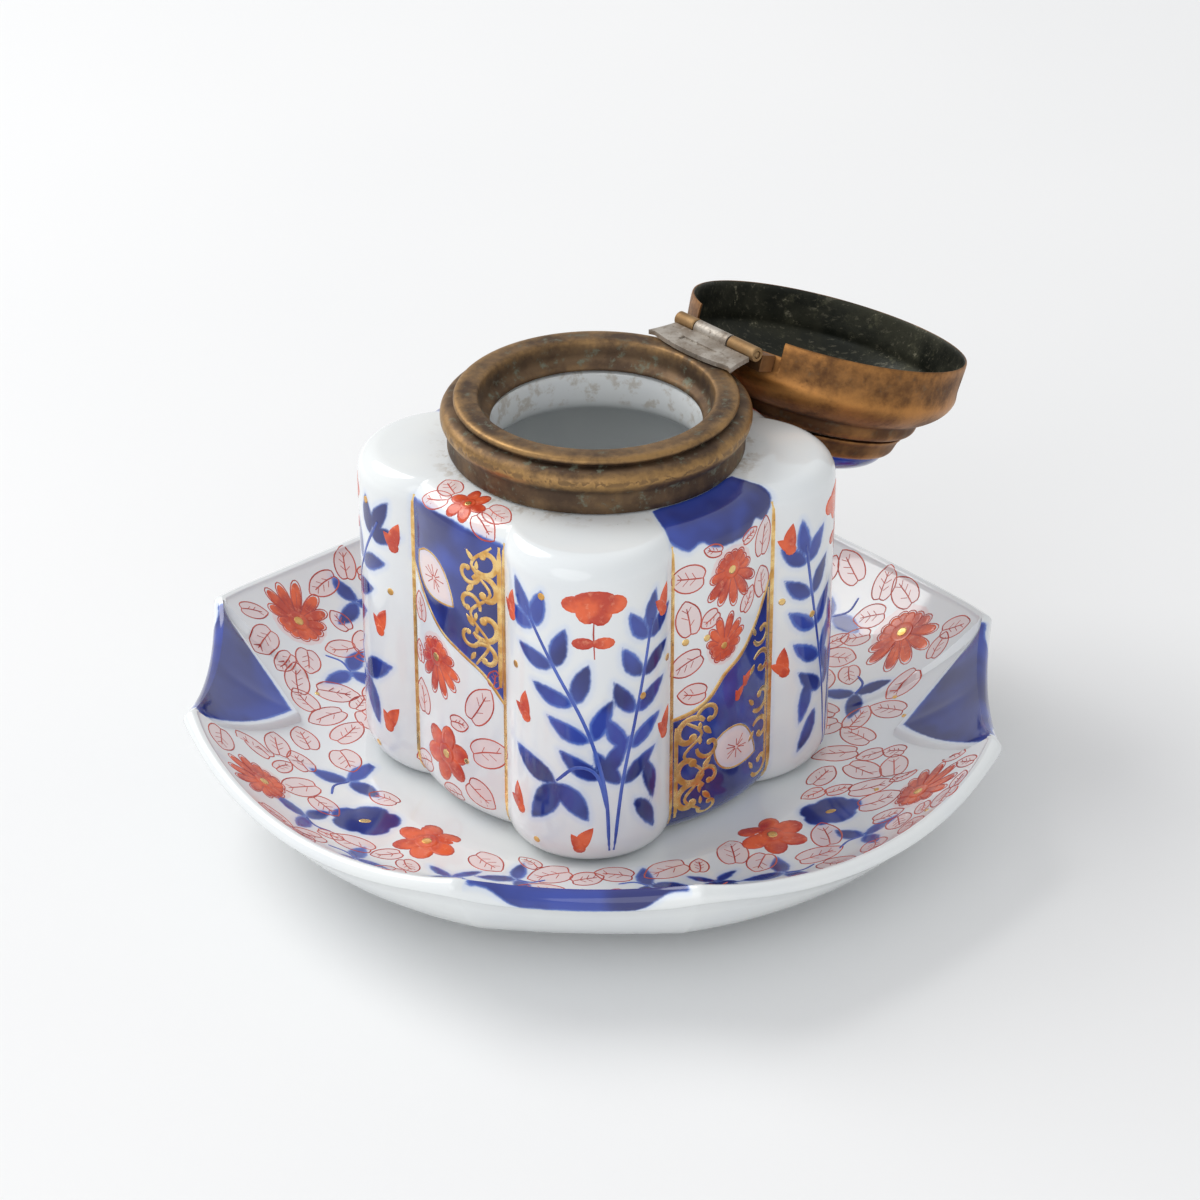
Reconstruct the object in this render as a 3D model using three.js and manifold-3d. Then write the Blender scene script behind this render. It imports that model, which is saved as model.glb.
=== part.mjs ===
// Porcelain inkwell on a square-folded saucer, with a brass collar and a hinged, porcelain-topped lid.
// Millimetres, +Z up, origin on the table plane at the centre of the saucer.
// The well's four lobes stand on the X and Y axes. The lid's hinge is half way between +X and +Y,
// and the lid is shown thrown right back, resting on its stop.
import * as THREE from "three";
import { mergeVertices } from "three/addons/utils/BufferGeometryUtils.js";
import Module from "manifold-3d";

const wasm = await Module();
wasm.setup();

const DEG = Math.PI / 180;
const GAP = 0.3; // between pieces that rest on, or are bonded to, one another

// Saucer: a shallow square dish whose four corners, on the axes, are folded in to triangular flaps.
const TIP_R = 76.1; // the eight sharp tips, two at the ends of each fold
const TIP_ANGLE = 16 * DEG; // of a tip, from the nearest axis
const TIP_Z = 25.8;
const SIDE_MID_R = 73.3; // rim at the middle of a side, on the diagonals
const SIDE_DIP = 4.7; // of the rim there, below the tips
const FOLD_SAG_R = 1.4; // of a fold's middle, towards the centre
const FOLD_SAG_Z = 2.8; // and downwards
const APEX_R = 54.7; // inner point of each flap
const APEX_Z = 13.3;
const FLAP_EDGE_BULGE = 1.3; // of a flap's side edges, outwards in plan
const FLAP_EDGE_SAG = 2;
const FLAP_STEP_APEX = 2.1; // height of a flap's edge above the wall below it
const FLAP_STEP_TIP = 0.7;
const LIP_WIDTH = 1.6;
const RIM_ROUND = 1.4; // edge radius along the sides
const FOLD_ROUND = 2.1; // and along the folds, where the clay is double
const FLOOR_R = 42.5;
const FLOOR_Z = 8.8;
const SEAT_R = 40.3; // low ring round the well's foot
const SEAT_Z = 8.35;
const SEAT_FLOOR_R = 38.8;
const SEAT_FLOOR_Z = 7.7;
const UNDER_R = 47; // where the outside of the wall meets the foot ring
const UNDER_Z = 3.4;
const WALL_STEEPNESS = [2, 2.8]; // exponent of the inner wall's curve, on the axes and on the diagonals
const OUTER_STEEPNESS = 2.6;
const WARP = 2.2; // how far the rim sags near one tip, from the kiln
const WARP_AZIMUTH = -22 * DEG;
const WARP_WIDTH = 30 * DEG;
const FOOT_OUTER_R = 45.2;
const FOOT_INNER_R = 40.4;
const FOOT_RECESS_Z = 4.6;

// Well: four round lobes on the axes and four gently bowed panels between them.
const LOBE_R = 14.9;
const LOBE_CENTRE = 27.6;
const GROOVE_ANGLE = 24.6 * DEG; // of a groove, from the nearest axis
const PANEL_APEX_R = 34.5;
const WELL_BOTTOM_Z = SEAT_FLOOR_Z + GAP;
const WELL_RECESS_Z = 9.2;
const WELL_RECESS_INSET = 11;
const BOTTOM_INSET = 5.5;
const BOTTOM_ROUND_Z = 14.5; // where the rounded bottom edge meets the upright wall
const SHOULDER_ROUND = 4.2;
const SHOULDER_Z = 69.9;
const SHOULDER_INNER_Z = 70.35;
const CAVITY_R = 31.8; // mean radius of the ink cavity, which swells softly into each lobe
const CAVITY_SWELL = 2.7;
const CAVITY_FLOOR_Z = 13.6;
const CAVITY_ROOF_Z = 66.4;
const NECK_OUTER_R = 23.3;
const NECK_INNER_R = 18.9;
const NECK_TOP_Z = 75.1;

// Brass collar, a turned ring over the neck.
const SKIRT_R = 26.4;
const SKIRT_INNER_R = 25.4;
const SKIRT_Z = 70.7;
const BEAD_R = 27.56;
const BEAD_Z = 77;
const FLANGE_R = 25.2;
const FLANGE_Z = 80.7;
const THROAT_TOP_R = 20.85;
const THROAT_LIP_R = 18.76;
const THROAT_LIP_Z = 76.2;
const COLLAR_UNDER_Z = NECK_TOP_Z + GAP;

// Hinge, in its own frame: X runs out from the well's axis, Y along the pin, Z up.
const HINGE_AZIMUTH = 44.5 * DEG;
const HINGE_R = 29.5; // of the pin's axis from the well's axis
const HINGE_Z = 82;
const KNUCKLE_R = 1.35;
const KNUCKLE_BORE = 0.72;
const PIN_R = 0.6;
const BARREL_HALF = 10.2;
const MIDDLE_KNUCKLE = [-3.2, 5.15];
const LEFT_KNUCKLE = [5.45, BARREL_HALF];
const RIGHT_KNUCKLE = [-BARREL_HALF, -3.5];
const LEAF_BOTTOM = FLANGE_Z + 0.25 - HINGE_Z;
const LEAF_THICK = 0.9;
const LEAF_INNER_X = -6.75; // the leaf's edge along the throat
const LEAF_INNER_HALF = 9.5;
const LEAF_INNER_BOW = 2.1;
const LEAF_WIDE_X = -7.2;
const LEAF_WIDE_HALF = 10.65;
const LEAF_WAIST_X = -4;
const LEAF_WAIST_HALF = 9.75;
const LEAF_END_X = -1.55;
const LEAF_END_HALF = 9.6;
const LEAF_RECESS = [[-5.6, -4.2], [-4.2, 4.6]]; // two opposite corners in X and Y
const LEAF_RECESS_DEPTH = 0.35;
const SOLDER_GAP = 0.15;

// Lid, closed: its rim stands just above the collar's bead. Heights are above the rim.
const LID_OPEN = 199 * DEG; // the lid as shown, from closed
const LID_RIM_Z = 79.4;
const LID_R = 26.4;
const LID_INNER_R = 25.8;
const LID_DECK = 16.2; // top of the cap, under the bezel
const LID_SHEET = 0.8;
const NOTCH_HALF = 10.9; // of the gap that the rim leaves for the hinge
const NOTCH_HEIGHT = 2.7;
const STRIP_TOP = 5.8; // of the bar above the notch
const BEZEL_R = 18.2;
const DOME_R = 16.6;
const DOME_SHOWN_R = 15.9;
const DOME_BASE = LID_DECK + 1.7;
const DOME_TOP = 25.9;

const ROUND = 40; // sides of a turned piece
const FLAP_STEPS = 3; // half a flap
const SIDE_STEPS = 10;
const LOBE_STEPS = 10;
const PANEL_STEPS = 6;

const PORCELAIN = { color: 0xe9edf0, roughness: 0.12, metalness: 0 };
const COBALT = { color: 0x1f2f8f, roughness: 0.1, metalness: 0 };
const BRASS = { color: 0x8a6238, roughness: 0.42, metalness: 1 };
const BRIGHT_BRASS = { color: 0xb98f4e, roughness: 0.28, metalness: 1 };
const SOLDER = { color: 0x8c867c, roughness: 0.6, metalness: 0.8 };
const PLASTER = { color: 0xcfc8b8, roughness: 0.95, metalness: 0 };

function mesh(name, geometry, finish) {
  const made = new THREE.Mesh(geometry, new THREE.MeshStandardMaterial(finish));
  made.name = name;
  return made;
}

// A closed body swept once round Z: column(angle) gives the section there as [radius, z] points,
// from the axis out and back to the axis. Every section has the same number of points.
function loft(angles, column) {
  const sections = angles.map(column);
  const rows = sections[0].length;
  const points = [[0, 0, sections[0][0][1]]];
  for (let row = 1; row < rows - 1; row++) {
    sections.forEach((section, i) => {
      const [r, z] = section[row];
      points.push([r * Math.cos(angles[i]), r * Math.sin(angles[i]), z]);
    });
  }
  points.push([0, 0, sections[0][rows - 1][1]]);
  const count = angles.length;
  const last = points.length - 1;
  const index = [];
  for (let i = 0; i < count; i++) {
    const next = (i + 1) % count;
    index.push(0, 1 + next, 1 + i);
    for (let row = 0; row < rows - 3; row++) {
      const here = 1 + row * count;
      const there = here + count;
      index.push(here + i, here + next, there + next);
      index.push(here + i, there + next, there + i);
    }
    const end = 1 + (rows - 3) * count;
    index.push(last, end + i, end + next);
  }
  const geometry = new THREE.BufferGeometry();
  geometry.setAttribute("position", new THREE.Float32BufferAttribute(points.flat(), 3));
  geometry.setIndex(index);
  return geometry;
}

// A turned piece: the section runs anticlockwise in (radius, z), closed on itself or on the axis.
function turned(section, sides = ROUND) {
  const points = section.map(([r, z]) => new THREE.Vector2(r, z));
  if (section[0][0] > 0) points.push(points[0].clone());
  return new THREE.LatheGeometry(points, sides).rotateX(Math.PI / 2);
}

function solid(geometry) {
  const bare = geometry.index ? geometry.toNonIndexed() : geometry.clone();
  const world = new THREE.BufferGeometry();
  world.setAttribute("position", bare.getAttribute("position"));
  const merged = mergeVertices(world, 1e-3);
  return new wasm.Manifold(
    new wasm.Mesh({
      numProp: 3,
      vertProperties: merged.attributes.position.array,
      triVerts: new Uint32Array(merged.index.array),
    }),
  );
}

function geometryOf(body) {
  const made = body.getMesh();
  const geometry = new THREE.BufferGeometry();
  geometry.setAttribute("position", new THREE.BufferAttribute(made.vertProperties, 3));
  geometry.setIndex(new THREE.BufferAttribute(made.triVerts, 1));
  return geometry;
}

// A bar along Y between two values of y, and a block between two corners.
function bar(radius, [from, to], sides) {
  const made = new THREE.CylinderGeometry(radius, radius, to - from, sides);
  return made.translate(0, (from + to) / 2, 0);
}

function block([x0, y0, z0], [x1, y1, z1]) {
  const made = new THREE.BoxGeometry(x1 - x0, y1 - y0, z1 - z0);
  return made.translate((x0 + x1) / 2, (y0 + y1) / 2, (z0 + z1) / 2);
}

const mix = (a, b, t) => a + (b - a) * t;

// Angle from the nearest axis, 0 to 45 degrees.
function fromAxis(angle) {
  const quarter = Math.PI / 2;
  return Math.abs(angle - quarter * Math.round(angle / quarter));
}

// Rim of the saucer at an angle from the nearest axis: [radius, z] of the outermost edge.
function saucerRim(a) {
  const tipX = TIP_R * Math.cos(TIP_ANGLE);
  const tipY = TIP_R * Math.sin(TIP_ANGLE);
  if (a < TIP_ANGLE) {
    let x = tipX;
    for (let i = 0; i < 6; i++) x = tipX - FOLD_SAG_R * (1 - (x * Math.tan(a) / tipY) ** 2);
    const along = x * Math.tan(a) / tipY;
    return [x / Math.cos(a), TIP_Z - FOLD_SAG_Z * (1 - along ** 2)];
  }
  const half = Math.PI / 4 - TIP_ANGLE;
  const b = Math.PI / 4 - a;
  const chord = TIP_R * Math.sin(half);
  const rise = SIDE_MID_R - TIP_R * Math.cos(half);
  const radius = (chord ** 2 + rise ** 2) / (2 * rise);
  const centre = SIDE_MID_R - radius;
  const r = centre * Math.cos(b) + Math.sqrt(radius ** 2 - (centre * Math.sin(b)) ** 2);
  return [r, TIP_Z - SIDE_DIP * (1 - (b / half) ** 2)];
}

// Side edge of a flap at an angle from its axis: [radius, z, height of its step].
function flapEdge(a) {
  const tip = [TIP_R * Math.cos(TIP_ANGLE), TIP_R * Math.sin(TIP_ANGLE)];
  const length = Math.hypot(tip[0] - APEX_R, tip[1]);
  const normal = [-tip[1] / length, (tip[0] - APEX_R) / length];
  const at = (s) => {
    const bulge = 4 * FLAP_EDGE_BULGE * s * (1 - s);
    return [mix(APEX_R, tip[0], s) + bulge * normal[0], mix(0, tip[1], s) + bulge * normal[1]];
  };
  let low = 0;
  let high = 1;
  for (let i = 0; i < 40; i++) {
    const s = (low + high) / 2;
    const [x, y] = at(s);
    if (Math.atan2(y, x) < a) low = s;
    else high = s;
  }
  const z = mix(APEX_Z, TIP_Z, low) - 4 * FLAP_EDGE_SAG * low * (1 - low);
  return [Math.hypot(...at(low)), z, mix(FLAP_STEP_APEX, FLAP_STEP_TIP, low)];
}

// Drop of the saucer's warped side at a radius and an angle.
function saucerWarp(r, angle) {
  const away = Math.atan2(Math.sin(angle - WARP_AZIMUTH), Math.cos(angle - WARP_AZIMUTH));
  const out = Math.max(0, (r - UNDER_R) / (TIP_R - UNDER_R));
  return WARP * out ** 2 * Math.exp(-((away / WARP_WIDTH) ** 2));
}

// Section of the saucer at an angle.
function saucerColumn(angle) {
  const a = fromAxis(angle);
  const [rimR, rimZ] = saucerRim(a);
  const onFlap = a < TIP_ANGLE - 1e-6;
  const fromFold = THREE.MathUtils.smoothstep(a, 0.7 * TIP_ANGLE, 1.4 * TIP_ANGLE);
  const round = mix(FOLD_ROUND, RIM_ROUND, fromFold);
  const crestR = rimR - round;
  let wall = [crestR - LIP_WIDTH / 2, rimZ - FLAP_STEP_TIP];
  let edge = [crestR - LIP_WIDTH / 4, rimZ - FLAP_STEP_TIP / 4];
  if (onFlap) {
    const [edgeR, edgeZ, step] = flapEdge(a);
    if (edgeR < wall[0]) {
      wall = [edgeR, edgeZ - step];
      edge = [edgeR + LIP_WIDTH / 2, Math.min(edgeZ, rimZ - FLAP_STEP_TIP / 4)];
    }
  }
  const steepness = mix(...WALL_STEEPNESS, THREE.MathUtils.smoothstep(a, TIP_ANGLE, Math.PI / 4));
  const section = [
    [0, SEAT_FLOOR_Z],
    [SEAT_FLOOR_R, SEAT_FLOOR_Z],
    [SEAT_R - 0.5, SEAT_Z],
    [SEAT_R + 0.5, SEAT_Z],
    [FLOOR_R, FLOOR_Z],
  ];
  for (const t of [0.25, 0.5, 0.75, 0.9, 1]) {
    section.push([mix(FLOOR_R, wall[0], t), mix(FLOOR_Z, wall[1], t ** steepness)]);
  }
  section.push(edge);
  section.push([mix(edge[0], crestR, 0.5), mix(edge[1], rimZ, 0.5)]);
  for (let i = 0; i <= 4; i++) {
    const turn = (i / 4) * Math.PI;
    section.push([crestR + round * Math.sin(turn), rimZ - round + round * Math.cos(turn)]);
  }
  const outer = section[section.length - 1];
  for (const t of [0.75, 0.45, 0.2, 0]) {
    section.push([mix(UNDER_R, outer[0] - 0.4, t), mix(UNDER_Z, outer[1] - 0.3, t ** OUTER_STEEPNESS)]);
  }
  section.push([FOOT_OUTER_R + 0.4, 2]);
  section.push([FOOT_OUTER_R, 0]);
  section.push([FOOT_INNER_R, 0]);
  section.push([FOOT_INNER_R - 0.6, FOOT_RECESS_Z]);
  section.push([0, FOOT_RECESS_Z]);
  return section.reverse().map(([r, z]) => [r, z - saucerWarp(r, angle)]);
}

function saucerAngles() {
  const angles = [];
  for (let quarter = 0; quarter < 4; quarter++) {
    const start = (quarter * Math.PI) / 2;
    for (let i = -FLAP_STEPS; i < FLAP_STEPS; i++) {
      angles.push(start + (TIP_ANGLE * i) / FLAP_STEPS);
    }
    const side = Math.PI / 2 - 2 * TIP_ANGLE;
    for (let i = 0; i < SIDE_STEPS; i++) angles.push(start + TIP_ANGLE + (side * i) / SIDE_STEPS);
  }
  return angles;
}

// Plan outline of the well: its radius at an angle.
function wellOutline(angle) {
  const a = fromAxis(angle);
  if (a <= GROOVE_ANGLE) {
    return LOBE_CENTRE * Math.cos(a) + Math.sqrt(LOBE_R ** 2 - (LOBE_CENTRE * Math.sin(a)) ** 2);
  }
  const groove = LOBE_CENTRE * Math.cos(GROOVE_ANGLE)
    + Math.sqrt(LOBE_R ** 2 - (LOBE_CENTRE * Math.sin(GROOVE_ANGLE)) ** 2);
  const half = Math.PI / 4 - GROOVE_ANGLE;
  const b = Math.PI / 4 - a;
  const chord = groove * Math.sin(half);
  const rise = PANEL_APEX_R - groove * Math.cos(half);
  const radius = (chord ** 2 + rise ** 2) / (2 * rise);
  const centre = PANEL_APEX_R - radius;
  return centre * Math.cos(b) + Math.sqrt(radius ** 2 - (centre * Math.sin(b)) ** 2);
}

function wellColumn(angle) {
  const r = wellOutline(angle);
  const inner = CAVITY_R + CAVITY_SWELL * Math.cos(4 * angle);
  const section = [
    [0, WELL_RECESS_Z],
    [r - WELL_RECESS_INSET, WELL_RECESS_Z],
    [r - WELL_RECESS_INSET + 1, WELL_BOTTOM_Z],
  ];
  const drop = BOTTOM_ROUND_Z - WELL_BOTTOM_Z;
  for (const turn of [0, 30, 60, 90]) {
    const across = BOTTOM_INSET * (1 - Math.sin(turn * DEG));
    section.push([r - across, BOTTOM_ROUND_Z - drop * Math.cos(turn * DEG)]);
  }
  for (const turn of [0, 30, 60, 90]) {
    const across = SHOULDER_ROUND * (1 - Math.cos(turn * DEG));
    section.push([r - across, SHOULDER_Z - SHOULDER_ROUND * (1 - Math.sin(turn * DEG))]);
  }
  section.push([SKIRT_R, SHOULDER_INNER_Z]);
  section.push([NECK_OUTER_R + 0.8, SHOULDER_INNER_Z + 0.2]);
  section.push([NECK_OUTER_R, SHOULDER_INNER_Z + 1]);
  section.push([NECK_OUTER_R, NECK_TOP_Z]);
  section.push([NECK_INNER_R + 0.5, NECK_TOP_Z]);
  section.push([NECK_INNER_R, NECK_TOP_Z - 0.5]);
  section.push([NECK_INNER_R, CAVITY_ROOF_Z + 3]);
  section.push([NECK_INNER_R + 1.6, CAVITY_ROOF_Z + 1]);
  section.push([inner - 4, CAVITY_ROOF_Z]);
  section.push([inner - 1, CAVITY_ROOF_Z - 1.6]);
  section.push([inner, CAVITY_ROOF_Z - 5]);
  section.push([inner, CAVITY_FLOOR_Z + 6]);
  section.push([inner - 1.6, CAVITY_FLOOR_Z + 2]);
  section.push([inner - 6, CAVITY_FLOOR_Z]);
  section.push([0, CAVITY_FLOOR_Z]);
  return section;
}

function wellAngles() {
  const angles = [];
  const seen = Math.atan2(
    wellOutline(GROOVE_ANGLE) * Math.sin(GROOVE_ANGLE),
    wellOutline(GROOVE_ANGLE) * Math.cos(GROOVE_ANGLE) - LOBE_CENTRE,
  );
  for (let quarter = 0; quarter < 4; quarter++) {
    const start = (quarter * Math.PI) / 2;
    for (let i = 0; i < LOBE_STEPS; i++) {
      const turn = mix(-seen, seen, i / LOBE_STEPS);
      angles.push(start + Math.atan2(LOBE_R * Math.sin(turn), LOBE_CENTRE + LOBE_R * Math.cos(turn)));
    }
    const panel = Math.PI / 2 - 2 * GROOVE_ANGLE;
    for (let i = 0; i < PANEL_STEPS; i++) angles.push(start + GROOVE_ANGLE + (panel * i) / PANEL_STEPS);
  }
  return angles;
}

// Ring of plaster that beds the collar on the neck.
function collarBed() {
  const bottom = SHOULDER_INNER_Z + 1.05;
  return turned([
    [NECK_OUTER_R + GAP, bottom],
    [SKIRT_INNER_R - GAP, bottom],
    [SKIRT_INNER_R - GAP, NECK_TOP_Z],
    [NECK_OUTER_R + GAP, NECK_TOP_Z],
  ]);
}

function collar() {
  return turned([
    [SKIRT_INNER_R, SKIRT_Z],
    [SKIRT_R, SKIRT_Z],
    [SKIRT_R, BEAD_Z - 2.4],
    [BEAD_R - 0.35, BEAD_Z - 1.1],
    [BEAD_R, BEAD_Z],
    [BEAD_R - 0.35, BEAD_Z + 1.1],
    [BEAD_R - 1.3, BEAD_Z + 1.9],
    [FLANGE_R - 0.6, BEAD_Z + 2.1],
    [FLANGE_R - 0.6, BEAD_Z + 2.35],
    [FLANGE_R, FLANGE_Z - 1],
    [FLANGE_R, FLANGE_Z - 0.5],
    [FLANGE_R - 0.5, FLANGE_Z],
    [THROAT_TOP_R + 0.4, FLANGE_Z],
    [THROAT_TOP_R, FLANGE_Z - 0.4],
    [THROAT_LIP_R + 1.3, THROAT_LIP_Z + 0.7],
    [THROAT_LIP_R, THROAT_LIP_Z],
    [THROAT_LIP_R, COLLAR_UNDER_Z],
    [SKIRT_INNER_R, COLLAR_UNDER_Z],
  ]);
}

// Leaf soldered to the top of the collar: widest on the ring, with the middle knuckle at its end
// and a shallow recess in front of the knuckle.
function collarLeaf() {
  const outline = new THREE.Shape();
  outline.moveTo(LEAF_INNER_X, -LEAF_INNER_HALF);
  outline.lineTo(LEAF_WIDE_X, -LEAF_WIDE_HALF);
  outline.quadraticCurveTo(LEAF_WAIST_X, -LEAF_WAIST_HALF, LEAF_END_X, -LEAF_END_HALF);
  outline.lineTo(LEAF_END_X, MIDDLE_KNUCKLE[0]);
  outline.lineTo(0, MIDDLE_KNUCKLE[0]);
  outline.lineTo(0, MIDDLE_KNUCKLE[1]);
  outline.lineTo(LEAF_END_X, MIDDLE_KNUCKLE[1]);
  outline.lineTo(LEAF_END_X, LEAF_END_HALF);
  outline.quadraticCurveTo(LEAF_WAIST_X, LEAF_WAIST_HALF, LEAF_WIDE_X, LEAF_WIDE_HALF);
  outline.lineTo(LEAF_INNER_X, LEAF_INNER_HALF);
  outline.quadraticCurveTo(LEAF_INNER_X - LEAF_INNER_BOW, 0, LEAF_INNER_X, -LEAF_INNER_HALF);
  const flat = { depth: LEAF_THICK, bevelEnabled: false, curveSegments: 6 };
  const plate = new THREE.ExtrudeGeometry(outline, flat).translate(0, 0, LEAF_BOTTOM);
  const [recessFrom, recessTo] = LEAF_RECESS;
  const recess = block([...recessFrom, LEAF_BOTTOM + LEAF_THICK - LEAF_RECESS_DEPTH], [...recessTo, 1]);
  const bore = bar(KNUCKLE_BORE, [-BARREL_HALF, BARREL_HALF], 14);
  const leaf = solid(plate).add(solid(bar(KNUCKLE_R, MIDDLE_KNUCKLE, 20)));
  return geometryOf(leaf.subtract(solid(recess)).subtract(solid(bore)));
}

function lidKnuckle(span) {
  return geometryOf(solid(bar(KNUCKLE_R, span, 20)).subtract(solid(bar(KNUCKLE_BORE, [-20, 20], 14))));
}

// The lid's pieces are built about the lid's own axis and moved out to the hinge.
function fromLidAxis(geometry) {
  return geometry.translate(-HINGE_R, 0, LID_RIM_Z - HINGE_Z);
}

// Spun cap, open below, with a notch in its rim for the hinge.
function lidShell() {
  const cap = turned([
    [0, LID_DECK - LID_SHEET],
    [18, LID_DECK - LID_SHEET],
    [19.6, LID_DECK - 1.5],
    [19.9, LID_DECK - 3],
    [21.8, 11.8],
    [23.8, 10.3],
    [25, 8.9],
    [25.6, 7.4],
    [25.4, 6],
    [25.6, 3.2],
    [LID_INNER_R, 0],
    [LID_R, 0],
    [26.2, 3.2],
    [26, 6],
    [26.25, 7.6],
    [25.6, 9.3],
    [24.3, 10.9],
    [22.3, 12.4],
    [20.9, 12.9],
    [20.6, 13.4],
    [20.4, LID_DECK - 1.4],
    [19.9, LID_DECK - 0.6],
    [18.9, LID_DECK],
    [0, LID_DECK],
  ]);
  const notch = block([-10, -NOTCH_HALF, -5], [2, NOTCH_HALF, LID_RIM_Z + NOTCH_HEIGHT - HINGE_Z]);
  return geometryOf(solid(fromLidAxis(cap)).subtract(solid(notch)));
}

// Bar soldered along the outside of the cap, above the notch, which carries the lid's two knuckles.
function lidStrip() {
  const bottom = LID_RIM_Z + NOTCH_HEIGHT - HINGE_Z;
  const top = LID_RIM_Z + STRIP_TOP - HINGE_Z;
  const outside = -KNUCKLE_R - SOLDER_GAP;
  const strip = solid(block([-6, -BARREL_HALF, bottom], [outside, BARREL_HALF, top]));
  const cap = fromLidAxis(turned([[0, -1], [LID_R + GAP, -1], [LID_R + GAP, 12], [0, 12]]));
  return geometryOf(strip.subtract(solid(cap)));
}

function lidBezel() {
  return turned([
    [BEZEL_R - 1.1, LID_DECK + GAP],
    [BEZEL_R + 0.3, LID_DECK + GAP],
    [BEZEL_R - 0.1, LID_DECK + 1],
    [BEZEL_R - 1, LID_DECK + 3.6],
    [BEZEL_R - 1.6, LID_DECK + 4.2],
    [DOME_SHOWN_R + 0.3, LID_DECK + 4.2],
    [DOME_SHOWN_R + 0.3, LID_DECK + 3.7],
    [BEZEL_R - 1.2, LID_DECK + 3.3],
  ]);
}

function lidBedding() {
  return turned([
    [0, LID_DECK + GAP],
    [BEZEL_R - 1.5, LID_DECK + GAP],
    [BEZEL_R - 1.5, DOME_BASE - GAP],
    [0, DOME_BASE - GAP],
  ], 28);
}

function lidDome() {
  const section = [
    [0, DOME_BASE],
    [DOME_R, DOME_BASE],
    [DOME_R, DOME_BASE + 1],
    [DOME_SHOWN_R, DOME_BASE + 1.4],
  ];
  const spring = LID_DECK + 4;
  for (const turn of [0, 24, 46, 70]) {
    section.push([
      DOME_SHOWN_R * Math.cos(turn * DEG),
      spring + (DOME_TOP - spring) * Math.sin(turn * DEG),
    ]);
  }
  section.push([0, DOME_TOP]);
  return turned(section);
}

const inkwell = new THREE.Group();
inkwell.add(mesh("saucer", loft(saucerAngles(), saucerColumn), PORCELAIN));
inkwell.add(mesh("well_body", loft(wellAngles(), wellColumn), PORCELAIN));
inkwell.add(mesh("collar_bed", collarBed(), PLASTER));
inkwell.add(mesh("collar", collar(), BRASS));

const hinge = new THREE.Group();
hinge.position.set(HINGE_R * Math.cos(HINGE_AZIMUTH), HINGE_R * Math.sin(HINGE_AZIMUTH), HINGE_Z);
hinge.rotation.z = HINGE_AZIMUTH;
inkwell.add(hinge);
hinge.add(mesh("collar_hinge_leaf", collarLeaf(), SOLDER));
hinge.add(mesh("hinge_pin", bar(PIN_R, [-BARREL_HALF, BARREL_HALF], 12), BRIGHT_BRASS));

const lid = new THREE.Group();
lid.rotation.y = LID_OPEN;
hinge.add(lid);
lid.add(mesh("lid_shell", lidShell(), BRASS));
lid.add(mesh("lid_hinge_strip", lidStrip(), SOLDER));
lid.add(mesh("lid_knuckle_left", lidKnuckle(LEFT_KNUCKLE), BRIGHT_BRASS));
lid.add(mesh("lid_knuckle_right", lidKnuckle(RIGHT_KNUCKLE), BRIGHT_BRASS));
lid.add(mesh("lid_bezel", fromLidAxis(lidBezel()), BRASS));
lid.add(mesh("lid_bedding", fromLidAxis(lidBedding()), PLASTER));
lid.add(mesh("lid_dome", fromLidAxis(lidDome()), COBALT));

export default inkwell;
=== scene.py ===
"""Looks of the porcelain inkwell: glazed and painted porcelain, aged brass, soldered hinge.

Shapes are worked out in millimetres, in the frame's own axes, and made in metres.
"""

import math

import bmesh
import bpy
import numpy as np
from mathutils import Matrix, Vector


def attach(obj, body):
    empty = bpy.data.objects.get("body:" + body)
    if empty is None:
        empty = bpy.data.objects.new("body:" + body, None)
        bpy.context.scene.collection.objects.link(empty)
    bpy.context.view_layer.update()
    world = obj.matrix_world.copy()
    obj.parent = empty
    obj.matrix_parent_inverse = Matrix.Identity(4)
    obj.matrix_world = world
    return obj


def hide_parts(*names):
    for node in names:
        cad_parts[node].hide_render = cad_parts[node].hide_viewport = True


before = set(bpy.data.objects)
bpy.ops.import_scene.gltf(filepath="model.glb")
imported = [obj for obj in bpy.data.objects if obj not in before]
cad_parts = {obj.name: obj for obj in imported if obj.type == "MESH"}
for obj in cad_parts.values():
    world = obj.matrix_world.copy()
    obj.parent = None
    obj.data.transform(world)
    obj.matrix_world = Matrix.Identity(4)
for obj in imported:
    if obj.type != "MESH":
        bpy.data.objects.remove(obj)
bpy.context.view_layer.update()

MM = 0.001
DEG = math.pi / 180
TURN = 2 * math.pi
QUARTER = math.pi / 2
FAR = 9.0  # a painted distance that means "nowhere near", in millimetres

# ---------------------------------------------------------------- dimensions, as the frame has them

TIP_R, TIP_ANGLE, TIP_Z = 76.1, 16 * DEG, 25.8
SIDE_MID_R, SIDE_DIP = 73.3, 4.7
FOLD_SAG_R, FOLD_SAG_Z = 1.4, 2.8
APEX_R, APEX_Z = 54.7, 13.3
FLAP_EDGE_BULGE, FLAP_EDGE_SAG = 1.3, 2.0
FLAP_STEP_APEX, FLAP_STEP_TIP = 2.1, 0.7
FLAP_HOLLOW = 1.1  # how far a flap's face dips between its edges
LIP_WIDTH, RIM_ROUND, FOLD_ROUND = 1.6, 1.4, 2.1
FLOOR_R, FLOOR_Z = 42.5, 8.8
SEAT_FLOOR_R, SEAT_FLOOR_Z, SEAT_Z = 38.8, 7.7, 8.35
UNDER_R, UNDER_Z = 47.0, 3.4
WALL_STEEPNESS, OUTER_STEEPNESS = (2.0, 2.8), 2.6
WARP, WARP_AZIMUTH, WARP_WIDTH = 2.2, -22 * DEG, 30 * DEG
FOOT_OUTER_R, FOOT_INNER_R, FOOT_RECESS_Z = 45.2, 40.4, 4.6

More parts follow.
